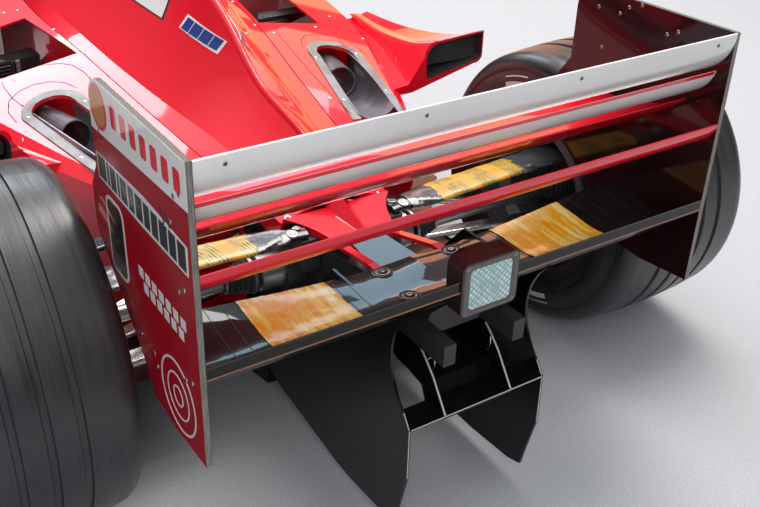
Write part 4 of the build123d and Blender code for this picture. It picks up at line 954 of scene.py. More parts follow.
class Skin:
    """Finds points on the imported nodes, so that trim sits on what carries it."""

    def __init__(self, frame: dict, *nodes: str) -> None:
        """Gather the nodes' faces.

        Args:
            nodes: Names of the nodes.
        """
        points: list[Vector] = []
        faces: list[list[int]] = []
        for name in nodes:
            mesh = frame["nodes"][name].data
            base = len(points)
            points.extend(v.co.copy() for v in mesh.vertices)
            faces.extend([base + i for i in p.vertices] for p in mesh.polygons)
        self.tree = BVHTree.FromPolygons(points, faces)

    def meet(self, start: Vector, way: Vector = DOWN) -> tuple[Vector, Vector]:
        """Follow a ray to the skin.

        Args:
            start: Where the ray starts.
            way: Its direction.

        Returns:
            The point on the skin and the normal there, which faces the ray's start.
        """
        point, normal, _, _ = self.tree.ray_cast(start, way)
        if point is None:
            point, normal, _, _ = self.tree.find_nearest(start + way * 0.1)
        if normal.dot(way) > 0:
            normal = -normal
        return point.copy(), normal.copy()

    def drape(self, starts: list[Vector], way: Vector, lift: float) -> tuple[list[Vector], list[Vector]]:
        """Lay a line of points on the skin.

        Args:
            starts: Points over the skin.
            way: Direction towards it.
            lift: How far the line stands off.

        Returns:
            The laid points and their normals.
        """
        points, normals = [], []
        for start in starts:
            point, normal = self.meet(start, way)
            points.append(point + normal * lift)
            normals.append(normal)
        return points, normals

    def strip(self, piece: Piece, starts: list[Vector], way: Vector, lift: float, width: float,
              thickness: float) -> None:
        """Lay a narrow strip on the skin, below a line of points off it."""
        line, normals = self.drape(starts, way, lift)
        piece.ribbon(line, normals, width, thickness)

    def patch(self, piece: Piece, corners: list[Vector], way: Vector, lift: float, steps: int = 12) -> None:
        """Lay a four sided sheet on the skin.

        Args:
            piece: Piece that it is added to.
            corners: Its corners in order, off the skin.
            way: Direction towards the skin.
            lift: How far its face stands off.
            steps: Parts along each side.
        """
        first, last = (between(corners[i], corners[3 - i], steps + 1) for i in (0, 1))
        laid = [self.drape(between(start, end, steps + 1), way, lift) for start, end in zip(first, last)]
        piece.sheet([line for line, _ in laid], [normals for _, normals in laid], lift * 0.8)


def between(first: Vector, last: Vector, count: int) -> list[Vector]:
    """Give a count of evenly spaced points, with both ends."""
    return [first.lerp(last, i / (count - 1)) for i in range(count)]


def through(points: list[Vector], step: float) -> list[Vector]:
    """Give points along straight runs.

    Args:
        points: Corners of the line.
        step: Greatest distance between points.

    Returns:
        The points.
    """
    line = [points[0]]
    for first, last in zip(points, points[1:]):
        count = max(2, math.ceil((last - first).length / step) + 1)
        line.extend(between(first, last, count)[1:])
    return line


def curve(points: list[Vector], steps: int) -> list[Vector]:
    """Give a smooth line through points.

    Args:
        points: Points that the line passes.
        steps: Parts between two of them.

    Returns:
        The line's points.
    """
    line = []
    for i, (b, c) in enumerate(zip(points, points[1:])):
        a = points[max(i - 1, 0)]
        d = points[min(i + 2, len(points) - 1)]
        bend, twist = 2 * a - 5 * b + 4 * c - d, 3 * b - a - 3 * c + d
        for t in (k / steps for k in range(steps)):
            line.append(0.5 * (2 * b + (c - a) * t + bend * t ** 2 + twist * t ** 3))
    line.append(points[-1])
    return line


def rounded(half_x: float, half_z: float, radius: float, steps: int = 5,
            middle: Place = (0.0, 0.0)) -> Profile:
    """Give the outline of a rectangle with round corners.

    Args:
        half_x: Half its width.
        half_z: Half its height.
        radius: Radius of its corners.
        steps: Parts of each corner.
        middle: Its middle.

    Returns:
        Its points, counted from its right hand edge.
    """
    points = []
    for turn, (sign_x, sign_z) in enumerate(((1, 1), (-1, 1), (-1, -1), (1, -1))):
        for k in range(steps + 1):
            t = math.radians(90 * (turn + k / steps))
            points.append((middle[0] + sign_x * (half_x - radius) + radius * math.cos(t),
                           middle[1] + sign_z * (half_z - radius) + radius * math.sin(t)))
    return points


@dataclass
class Screw:
    """Small fastener with a socket in its head: radius and height of the head, radius of the socket."""

    radius: float = 0.005
    height: float = 0.0012
    socket: float = 0.0022

    def add(self, piece: Piece, place: Vector, normal: Vector) -> None:
        """Add one to a piece: its dark socket has tint 1.

        Args:
            piece: Piece that it is added to.
            place: Point on the surface.
            normal: Direction that it faces.
        """
        radius, height, socket = self.radius, self.height, self.socket
        head = [(-0.001, radius), (height * 0.5, radius), (height, radius * 0.8), (height, socket)]
        piece.lathe(place, normal, head, 14)
        piece.tint = 1
        piece.lathe(place, normal, [(height * 0.2, socket), (height * 1.02, socket)], 6)
        piece.tint = 0

    def on(self, piece: Piece, skin: Skin, start: Vector, way: Vector = DOWN) -> None:
        """Add one where a ray meets the skin."""
        self.add(piece, *skin.meet(start, way))


@dataclass(frozen=True)
class Lamp:
    """Soft rectangular light that faces a target, its power in watts."""

    name: str
    place: Triple
    size: Place
    power: float
    colour: Colour
    target: Triple = (0.0, 1.2, 0.5)

    def build(self) -> None:
        """Hang the light."""
        data = bpy.data.lights.new(self.name, "AREA")
        data.shape = "RECTANGLE"
        data.size, data.size_y = self.size
        data.energy = self.power
        data.color = self.colour
        lamp = bpy.data.objects.new(self.name, data)
        lamp.rotation_mode = "QUATERNION"
        lamp.rotation_quaternion = (Vector(self.target) - Vector(self.place)).to_track_quat("-Z", "Y")
        lamp.location = self.place
        bpy.context.scene.collection.objects.link(lamp)


@dataclass
class Studio:
    """Camera, lights and floor. Angles are in degrees, and the shift in parts of the picture's width.

    The lamps are the panels and cards that the paint reflects, and the two that light the car.
    """

    place: Triple = (0.8869, 3.1680, 1.3332)
    azimuth: float = 149.030465
    elevation: float = 28.4746095
    roll: float = 0.297909471
    lens: float = 45.593
    shift: Place = (0.06905, -0.0511)
    reach: float = 40.0
    lamps: tuple[Lamp, ...] = (
        Lamp("front_panel", (-0.18, -3.61, 4.44), (2.6, 2.2), 140.0, (0.93, 0.97, 1.0)),
        Lamp("wing_panel", (-2.78, -2.97, 3.78), (1.7, 0.9), 15.0, (0.52, 0.8, 1.0)),
        Lamp("wing_card", (-2.56, -2.13, 5.37), (0.9, 0.45), 9.0, (1.0, 1.0, 1.0)),
        Lamp("deck_card", (-3.93, -2.9, 3.12), (1.3, 1.2), 14.0, (1.0, 0.42, 0.24)),
        Lamp("warm_card", (-5.5, -4.5, 1.1), (2.8, 2.0), 34.0, (1.0, 0.42, 0.18)),
        Lamp("key_light", (-2.2, 0.4, 5.5), (3.0, 3.0), 300.0, (1.0, 0.95, 0.9)),
        Lamp("fill_light", (2.6, 6.5, 3.6), (3.0, 3.0), 125.0, (0.97, 0.98, 1.0)),
    )

    def camera(self) -> None:
        """Make the camera at the photograph's viewing angle."""
        data = bpy.data.cameras.new("camera")
        data.lens = self.lens
        data.sensor_width = 36.0
        data.shift_x, data.shift_y = self.shift
        data.clip_start = 0.02
        camera = bpy.data.objects.new("camera", data)
        a, e = math.radians(self.azimuth), math.radians(self.elevation)
        back = Vector((math.sin(a) * math.cos(e), -math.cos(a) * math.cos(e), math.sin(e)))
        camera.rotation_mode = "QUATERNION"
        turn = Quaternion((0, 0, 1), math.radians(self.roll))
        camera.rotation_quaternion = (-back).to_track_quat("-Z", "Y") @ turn
        camera.location = self.place
        bpy.context.scene.collection.objects.link(camera)
        bpy.context.scene.camera = camera

    def sky(self) -> None:
        """Light the room from a soft dome: dim low down, and pale overhead."""
        world = bpy.data.worlds.new("studio")
        bpy.context.scene.world = world
        world.use_nodes = True
        wiring = Wiring(world.node_tree)
        background = world.node_tree.nodes["Background"]
        _, _, up = wiring.axes(wiring.add("ShaderNodeTexCoord").outputs["Generated"])
        low = wiring.mix(wiring.span(up, 0.3, 0.56), (0.06, 0.056, 0.055), (0.34, 0.35, 0.39))
        high = wiring.mix(wiring.span(up, 0.6, 0.9), low, (1.5, 1.52, 1.55))
        wiring.feed(background.inputs["Color"], high)
        background.inputs["Strength"].default_value = 1.0

    def ground(self) -> None:
        """Lay the floor."""
        mesh = bpy.data.meshes.new("studio_floor")
        corners = [(x * self.reach, y * self.reach, 0) for x, y in ((-1, -1), (1, -1), (1, 1), (-1, 1))]
        mesh.from_pydata(corners, [], [(0, 1, 2, 3)])
        mesh.materials.append(painted(STUDIO_FLOOR))
        floor = bpy.data.objects.new("studio_floor", mesh)
        bpy.context.scene.collection.objects.link(floor)

    def build(self) -> None:
        """Make the whole studio."""
        self.camera()
        self.sky()
        for lamp in self.lamps:
            lamp.build()
        self.ground()
        bpy.context.scene.view_settings.view_transform = "Standard"
        LOG.info("built the studio")


@dataclass
class Dressing:
    """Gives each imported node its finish. Each finish is listed with the names of its nodes."""

    frame: dict
    finishes: tuple[tuple[Finish, str], ...] = (
        (RED_PAINT, "monocoque nose_cone engine_cover sidepods winglets tail_cover mirrors rear_wing_main"),
        (RED_PAINT, "rear_wing_blade front_wing_main front_wing_endplates"),
        (WHITE_PAINT, "front_wing_flaps rear_wing_flaps"),
        (WING_PLATE, "rear_wing_endplates"),
        (SHELL_CARBON, "bargeboards lower_wing front_suspension rear_suspension"),
        (BLACK_GLOSS, "diffuser floor"),
        (SATIN_CARBON, "seat"),
        (MAROON_PLASTIC, "rain_light"),
        (SOFT_BLACK, "steering_wheel"),
        (PADDING, "headrest"),
        (PLANK_WOOD, "plank"),
        (CLEAR_SCREEN, "windscreen"),
        (CASTING, "engine gearbox rear_uprights front_left_upright front_right_upright"),
        (FIN_CORE, "radiators"),
        (PIPE_METAL, "exhausts"),
        (STEEL, "steering_rack"),
    )

    def finish(self, name: str) -> Finish:
        """Choose a node's finish.

        Args:
            name: Name of the node.

        Returns:
            Its finish.
        """
        if name.endswith("_tyre"):
            low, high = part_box(name)
            middle = (low + high) / 2
            return TyreRubber(f"{name}_rubber", centre=tuple(middle), radius=(high.z - low.z) / 2)
        wheel_parts = {"rim": RIM_METAL, "hub": STEEL}
        named = {node: finish for finish, nodes in self.finishes for node in nodes.split()}
        return wheel_parts.get(name.rsplit("_", 1)[-1]) or named[name]

    def build(self) -> None:
        """Paint every node."""
        for name, node in self.frame["nodes"].items():
            finish = self.finish(name)
            node.data.materials.clear()
            node.data.materials.append(painted(finish))
            node.data.polygons.foreach_set("material_index", [0] * len(node.data.polygons))
        self.accent("exhausts", self.around_trough, RING_METAL)
        self.accent("exhausts", self.in_trough, TROUGH_METAL)
        self.accent("rear_suspension", self.is_low, ALLOY)
        # Painted shade: faces inside the winglets' mouths take the dark padding finish.
        self.accent("winglets", self.in_duct_shade, PADDING)
        self.accent("monocoque", self.in_cockpit, SATIN_CARBON)
        self.accent("lower_wing", self.on_lip, BLACK_GLOSS)
        LOG.info("dressed %d nodes", len(self.frame["nodes"]))

    def accent(self, name: str, test: Callable[[Vector, Vector], bool], finish: Finish) -> None:
        """Give some faces of a node another finish.

        Args:
            name: Name of the node.
            test: Says of a face's centre and normal whether it changes.
            finish: The other finish.
        """
        mesh = self.frame["nodes"][name].data
        mesh.materials.append(painted(finish))
        for face in mesh.polygons:
            if test(face.center, face.normal):
                face.material_index = len(mesh.materials) - 1

    def around_trough(self, place: Vector, _: Vector) -> bool:
        """Say whether a place is on the ring round an exhaust, which narrows aft.

        Args:
            place: The face's centre.

        Returns:
            Whether it is.
        """
        aft = (place.y - REAR_AXLE_Y) * 1000
        across = abs(place.x) * 1000
        share = (aft + 600) / 330
        return across < 321 - 81 * share or across > 425 - 78 * share or aft < -652

    def in_trough(self, place: Vector, _: Vector) -> bool:
        """Say whether a place is in an exhaust's trough, behind its pipe."""
        return place.y > REAR_AXLE_Y - 0.59 and not self.around_trough(place, _)

    def is_low(self, place: Vector, _: Vector) -> bool:
        """Say whether a place is below the axles' middle."""
        return place.z < 0.33

    def in_duct_shade(self, place: Vector, normal: Vector) -> bool:
        """Say whether a face looks into a winglet's mouth, where the dark padding finish paints the shade
        inside the duct.

        Args:
            place: The face's centre.
            normal: Its normal.

        Returns:
            Whether it does.
        """
        inward = Vector((math.copysign(0.615, place.x) - place.x, 0, 0.5 - place.z))
        hollow = abs(place.x) > 0.515 and place.y > REAR_AXLE_Y - 0.56
        return hollow and inward.dot(normal) > 0.004

    def in_cockpit(self, place: Vector, normal: Vector) -> bool:
        """Say whether a face looks into the cockpit.

        Args:
            place: The face's centre.
            normal: Its normal.

        Returns:
            Whether it does.
        """
        across = normal.x * math.copysign(1, place.x) < -0.05 and abs(place.x) > 0.02
        along = abs(normal.y) > 0.8 and -0.6 < place.y < 0.21
        return across or along or (normal.z > 0.3 and place.z < 0.45)

    def on_lip(self, _: Vector, normal: Vector) -> bool:
        """Say whether a face is on the lower wing's belly or its blunt edges."""
        return normal.z < 0.1


@dataclass
class SubAssembly:
    frame: dict

    def skin(self, *nodes: str) -> Skin:
        """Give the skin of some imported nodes."""
        return Skin(self.frame, *nodes)

    def build(self) -> None:
        """Make all the trim of the sub-assembly."""
        raise NotImplementedError


def block(aft: float, up: float, width: float, height: float) -> Profile:
    """Give the corners of an upright rectangle from its lowest foremost one."""
    return [(aft, up), (aft + width, up), (aft + width, up + height), (aft, up + height)]


@dataclass
class RearWing(SubAssembly):
    """Trim of the two tier rear wing, in millimetres.

    Screws and outlines on the plates are aft and up, bolts across and aft. A block has its front edge
    and width, a row of squares its height, front edge and count, and a ring its radius and width.
    """

    plate_x: float = 500.0
    wing_x: float = 490.0
    under: float = 620.0
    film_x: Place = (180.0, 345.0)
    film_aft: Place = (267.0, 474.0)
    plate_screws: Places = (
        (436, 775), (455, 786), (394, 715), (416, 729), (427, 627), (447, 640), (428, 479), (451, 489),
        (251, 450), (303, 446), (311, 426), (150, 757),
    )
    inner_screws: Places = (
        (171, 807), (225, 808), (245, 824), (274, 835), (340, 799), (363, 810), (192, 733),
    )
    flap_screws: tuple[float, ...] = (143, 447)
    bolt_places: Places = ((74, 290), (-74, 290), (79, 378), (-79, 378))
    joints: tuple[float, ...] = (148, 172, 372, 402, 452)
    row_ground: Places = ((124, 671), (300, 668), (468, 671), (470, 717), (320, 723), (123, 714))
    row_blocks: Places = (
        (128, 34), (168, 9), (182, 24), (212, 8), (225, 26), (257, 22), (285, 26), (317, 22), (345, 24),
        (374, 28), (407, 24), (437, 26),
    )
    strokes: tuple[float, ...] = (212, 250, 288, 326, 364, 402, 440)
    squares: tuple[tuple[float, float, int], ...] = ((570, 270, 7), (548, 286, 6))
    rings: Places = ((64, 4), (40, 3), (18, 3))
    ticks: tuple[float, ...] = (378, 398)

    def screws(self) -> None:
        """Set the screws of the endplates."""
        piece = Piece("wing_plate_screws")
        for side in SIDES:
            for aft, up in self.plate_screws:
                Screw(0.0042).add(piece, spot(side * self.plate_x, aft, up), LEFT * side)
            for aft, up in self.inner_screws:
                Screw(0.0036).add(piece, spot(side * self.wing_x, aft, up), LEFT * -side)
        piece.build([CHROME, SEAM_DARK], Slot.STEEL)

    def flat(self, piece: Piece, side: int, outline: Profile, depth: float) -> None:
        """Add a flat shape, aft and up in millimetres and its depth in metres, outside a plate."""
        piece.prism([spot(side * self.plate_x, aft, up) for aft, up in outline], LEFT * side * depth)

    def graphics(self) -> None:
        """Lay plain generic shapes on the outsides of the plates."""
        pale = Piece("wing_plate_pale_shapes")
        dark = Piece("wing_plate_dark_shapes")
        bright = Piece("wing_plate_red_shapes")
        disc = Piece("wing_plate_amber_disc")
        for side in SIDES:
            self.flat(pale, side, list(self.row_ground), 0.0004)
            for start, width in self.row_blocks:
                self.flat(dark, side, block(start, 675, width, 39), 0.0007)
            self.flat(pale, side, rounded(38, 68, 20, middle=(181, 586)), 0.0004)
            self.flat(dark, side, rounded(32, 62, 15, middle=(181, 586)), 0.0007)
            for low, first, count in self.squares:
                for k in range(count):
                    self.flat(pale, side, block(first + 26 * k, low, 17, 17), 0.0004)
            for radius, width in self.rings:
                outer, inner = radius / 1000, (radius - width) / 1000
                pale.lathe(spot(side * self.plate_x, 391, 425), LEFT * side,
                           [(0, outer), (0.0004, outer), (0.0004, inner), (0, inner)], 48, caps=False)
            for start in self.strokes:
                self.flat(bright, side, rounded(11, 17, 5, 3, (start + 11, 803)), 0.0005)
            middle = spot(side * self.plate_x, 157, 798)
            disc.lathe(middle, LEFT * side, [(0, 0.031), (0.0006, 0.031)], 40)
            disc.tint = 1
            disc.lathe(middle, LEFT * side, [(0, 0.036), (0.0007, 0.036), (0.0007, 0.031), (0, 0.031)], 40,
                       caps=False)
            disc.tint = 0
            for aft in self.ticks:
                self.flat(dark, side, [(aft, 734), (aft + 5, 735), (aft + 19, 719), (aft + 14, 718)], 0.0006)
        pale.build([WHITE_PAINT], Slot.WHITE)
        dark.build([BLACK_PAINT], Slot.DARK)
        bright.build([RED_PAINT], Slot.RED)
        disc.build([AMBER_INK, RED_PAINT], Slot.WHITE)

    def slot_line(self) -> None:
        """Lay the fine red line along the slot between the two flaps."""
        piece = Piece("flap_slot_line")
        starts = between(spot(-self.wing_x + 4, 700, 764), spot(self.wing_x - 4, 700, 764), 60)
        self.skin("rear_wing_flaps").strip(piece, starts, AHEAD, 0.0006, 0.007, 0.0006)
        piece.build([RED_PAINT], Slot.RED)

    def films(self, skin: Skin) -> None:
        """Lay the two sheets of amber film on the lower wing, a little crumpled.

        Args:
            skin: The lower wing.
        """
        noise = random.Random(5)
        for side in SIDES:
            piece = Piece(f"{SIDE_NAMES[side]}_heat_film", 60.0)
            inner, outer = (side * x for x in self.film_x)
            edges = [between(spot(inner, aft, self.under), spot(outer, aft, self.under), 25)
                     for aft in self.film_aft]
            rows, lifts = [], []
            for front, rear in zip(*edges):
                line, normals = skin.drape(between(front, rear, 35), DOWN, 0.0012)
                rows.append([p + n * noise.uniform(0, 0.0009) for p, n in zip(line, normals)])
                lifts.append(normals)
            piece.sheet(rows, lifts, 0.0006)
            piece.build([AMBER_FILM])

    def bolts(self, skin: Skin) -> None:
        """Set the four dark sockets with bright bolts in the lower wing, and the screws of the top flap.

        Args:
            skin: The lower wing.
        """
        cup = Piece("lower_wing_bolt_cups")
        bolt = Piece("lower_wing_bolts")
        turned = (
            (cup, 0, 32,
             [(-0.002, 0.018), (0.0016, 0.018), (0.0022, 0.0155), (0.0008, 0.012), (0.0006, 0.0)]),
            (cup, 1, 32, [(0.0, 0.0186), (0.001, 0.0186), (0.0012, 0.018)]),
            (bolt, 1, 24, [(0, 0.0095), (0.0028, 0.0095), (0.0036, 0.008), (0.0036, 0.0)]),
            (bolt, 0, 20, [(0.0036, 0.0055), (0.0041, 0.0052), (0.0041, 0.0032), (0.0036, 0.003)]),
        )
        for across, aft in self.bolt_places:
            place, normal = skin.meet(spot(across, aft, self.under))
            for piece, tint, sides, profile in turned:
                piece.tint = tint
                piece.lathe(place, normal, profile, sides)
        cup.build([SOFT_BLACK, EDGE_GREY], Slot.DARK)
        bolt.build([CHROME, SOFT_BLACK], Slot.STEEL)
        screws = Piece("flap_screws")
        flaps = self.skin("rear_wing_flaps")
        for across in (side * x for side in SIDES for x in self.flap_screws):
            Screw(0.0035).on(screws, flaps, spot(across, 700, 826), AHEAD)
        screws.build([STEEL, SEAM_DARK], Slot.STEEL)

    def edges(self, skin: Skin) -> None:
        """Lay the thin lines along the lower wing's lip, and the joints of its sheets.

        Args:
            skin: The lower wing.
        """
        piece = Piece("lower_wing_lip_line")
        for up, tint, width in ((508.5, 0, 0.003), (527.5, 1, 0.0025)):
            line = through([spot(-self.wing_x, 480.4, up), spot(self.wing_x, 480.4, up)], 0.05)
            piece.tint = tint
            piece.ribbon(line, [AFT] * len(line), width, 0.0008)
        piece.build([BROWN_EDGE, MAROON_PLASTIC], Slot.DARK)
        joints = Piece("lower_wing_sheet_joints", 60.0)
        for side in SIDES:
            for across in self.joints:
                ends = spot(side * across, 268, self.under), spot(side * (across + 4), 472, self.under)
                skin.strip(joints, between(*ends, 14), DOWN, 0.0004, 0.001, 0.0004)
        joints.build([CASTING], Slot.DARK)

    def build(self) -> None:
        """Make all the trim of the rear wing."""
        self.screws()
        self.graphics()
        self.slot_line()
        skin = self.skin("lower_wing")
        self.films(skin)
        self.bolts(skin)
        self.edges(skin)


@dataclass
class RainLight(SubAssembly):
    """Lens, rim and screws of the rain light, in millimetres.

    A ring has half its width and height, the radius of its corners and its distance off the face.
    """

    middle: float = 509.0
    face: float = 484.0
    lens: tuple[tuple[float, ...], ...] = ((42, 37, 9, 0), (42, 37, 9, 0.3), (38, 33, 7, 0.5))
    rim: tuple[tuple[float, ...], ...] = (
        (54, 47, 11, 0), (54, 47, 11, 0.6), (52, 45, 10, 0.95), (45, 40, 10, 0.95), (43, 38, 9, 0.1))
    corner: Place = (47.5, 41.5)

    def rings(self, sizes: tuple[tuple[float, ...], ...]) -> list[list[Vector]]:
        """Give rounded outlines on the lamp's face."""
        return [[spot(x, self.face + stand, z) for x, z in rounded(*size, middle=(0, self.middle))]
                for *size, stand in sizes]

    def build(self) -> None:
        """Make the lens in its rim, and the corner screws."""
        lens = Piece("rain_light_lens")
        lens.rings(self.rings(self.lens))
        lens.build([LAMP_LENS])
        rim = Piece("rain_light_rim")
        rim.rings(self.rings(self.rim), caps=False)
        rim.build([LAMP_RIM], Slot.DARK)
        screws = Piece("rain_light_screws")
        for x in (-self.corner[0], self.corner[0]):
            for z in (-self.corner[1], self.corner[1]):
                Screw(0.0036, 0.0004).add(screws, spot(x, self.face + 0.6, self.middle + z), AFT)
        screws.build([STEEL, SEAM_DARK], Slot.STEEL)


@dataclass
class Diffuser(SubAssembly):
    """Bare edges and wire hooks of the diffuser, in millimetres.

    An edge has its distance from the middle, its path as aft and up, and its width in metres.
    """

    edges: tuple[tuple[float, Places, float], ...] = (
        (70.5, ((404, 363), (420, 350), (445, 325), (484, 271)), 0.0032),
        (143.5, ((485, 166), (484, 268), (466, 294)), 0.002),
    )
    strip_half: float = 140.0
    hook: tuple[Triple, ...] = (
        (68, 424, 348), (63, 427, 352), (60, 432, 348), (60, 432, 336), (60, 427, 322))

    def build(self) -> None:
        """Lay the pale edges of the fins and the strip, and set the hooks."""
        edges = Piece("diffuser_bare_edges", 60.0)
        for side in SIDES:
            for across, path, width in self.edges:
                points = through([spot(side * across, aft + 0.1, up + 0.4) for aft, up in path], 0.01)
                turns = [LEFT.cross(heading(points, i)).normalized() for i in range(len(points))]
                edges.ribbon(points, [turn if turn.y > 0 else -turn for turn in turns], width, 0.0007)
        strip = through([spot(-self.strip_half, 485.0, 269.2), spot(self.strip_half, 485.0, 269.2)], 0.05)
        edges.ribbon(strip, [AFT] * len(strip), 0.0022, 0.0006)
        edges.build([BARE_EDGE], Slot.DARK)
        hooks = Piece("diffuser_hooks", 60.0)
        for side in SIDES:
            hooks.tube(curve([spot(side * x, aft, up) for x, aft, up in self.hook], 5), 0.0013, 8)
        hooks.build([CHROME], Slot.STEEL)


@dataclass
class Suspension(SubAssembly):
    """Sleeves, tape, bolt rings and boots of the suspension.

    Places at the rear are in millimetres, radii and the front bolts in metres. A boot has its place
    across the car, and 1 where it narrows outward.
    """

    root: Triple = (97.0, 56.0, 423.0)
    tip: Triple = (648.0, 26.0, 430.0)
    arm_width: Place = (47.0, 75.0)
    widening: Place = (130.0, 207.0)
    tape_ends: tuple[tuple[int, float], ...] = ((1, 340), (-1, 439))
    ring_places: tuple[Triple, ...] = ((111, 49, 0.0085), (128, 64, 0.0115))
    boots: tuple[tuple[float, int], ...] = ((190, 1), (640, -1))
    shaft_radius: float = 0.016
    front_bolts: Places = ((0.205, -0.086), (0.235, 0.190), (0.560, -0.016), (0.560, 0.026))

    def wrap(self, name: str, side: int, reach: Place, finish: Finish, slack: float) -> None:
        """Wrap a sheet round an upper arm, which widens from its root.

        Args:
            name: Name of the piece.
            side: 1 on the left and -1 on the right.
            reach: Where it starts and ends across the car, in millimetres.
            finish: The sheet.
            slack: How loosely it lies, as a share of the arm's width.
        """
        noise = random.Random(7)
        count, sides = 26, 32
        (narrow, broad), (start, end) = self.arm_width, self.widening
        rings = []
        for k in range(count + 1):
            across = reach[0] + (reach[1] - reach[0]) * k / count
            share = (across - self.root[0]) / (self.tip[0] - self.root[0])
            x, aft, up = Vector(self.root).lerp(Vector(self.tip), share)
            wide = min(max((across - start) / (end - start), 0), 1)
            half_width = (narrow + (broad - narrow) * wide) / 2000
            ring = []
            for t in (2 * math.pi * i / sides for i in range(sides)):
                fold = 1 + noise.uniform(0, slack) + slack * 0.6 * math.sin(5 * t + across * 0.09)
                ring.append(spot(side * x, aft, up)
                            + Vector((0, math.cos(t) * half_width * fold, math.sin(t) * 0.0098 * fold)))
            rings.append(ring)
        piece = Piece(name, 60.0)
        piece.rings(rings, caps=False)
        piece.build([finish])

    def rear(self) -> None:
        """Wrap the rear arms, and set the rings at their inner ends."""
        for side, end in self.tape_ends:
            word = SIDE_NAMES[side]
            self.wrap(f"{word}_arm_sleeve", side, (140, 212), SLEEVE, 0.09)
            self.wrap(f"{word}_arm_tape", side, (205, end), GOLD_TAPE, 0.02)
            self.wrap(f"{word}_arm_outer_sleeve", side, (end - 8, 560), SLEEVE, 0.12)
        piece = Piece("arm_bolt_rings")
        skin = self.skin("rear_suspension")
        for side in SIDES:
            for across, aft, radius in self.ring_places:
                place, normal = skin.meet(spot(side * across, aft, 500))
                piece.tint = 0
                piece.lathe(place, normal, [(-0.001, radius), (0.0018, radius), (0.0024, radius * 0.86),
                                            (0.0024, radius * 0.6), (0.001, radius * 0.55)], 28)
                piece.tint = 1
                piece.lathe(place, normal, [(0.0, radius * 0.56), (0.0032, radius * 0.5), (0.0032, 0.001)], 6)
        piece.build([STEEL, CHROME], Slot.STEEL)

    def shafts(self) -> None:
        """Fit ribbed rubber boots with steel bands over the ends of the driveshafts."""
        folds = 12
        profile = [(k * 0.005, 0.037 - 0.017 * k / folds + (0.0022 if k % 2 else -0.0012))
                   for k in range(folds + 1)]
        profile.append((0.064, self.shaft_radius + 0.001))
        for side, body in ((1, Body.REAR_LEFT), (-1, Body.REAR_RIGHT)):
            piece = Piece(f"{SIDE_NAMES[side]}_driveshaft_boots", 60.0)
            for inner, way in self.boots:
                origin, axis = spot(side * inner, 0, 325), LEFT * side * way
                piece.tint = 0
                piece.lathe(origin, axis, profile, 32)
                piece.tint = 1
                for along, radius in ((0.002, 0.0385), (0.058, 0.0225)):
                    near, far = along - 0.003, along + 0.003
                    band = [(near, radius - 0.001), (near, radius), (far, radius), (far, radius - 0.001)]
                    piece.lathe(origin, axis, band, 32, caps=False)
            piece.build([SOFT_BLACK, STEEL], Slot.CASTING, body)

    def front(self) -> None:
        """Set the bolts where the front arms meet the chassis and the uprights."""
        skin = self.skin("front_suspension")
        bolts = Piece("front_arm_bolts")
        for side in SIDES:
            for across, aft in self.front_bolts:
                Screw(0.0055, 0.0022, 0.0026).on(bolts, skin, nose_spot(side * across, aft, 0.8))
        bolts.build([CHROME, SEAM_DARK], Slot.STEEL)

    def build(self) -> None:
        """Make all the trim of the suspension."""
        self.rear()
        self.shafts()
        self.front()


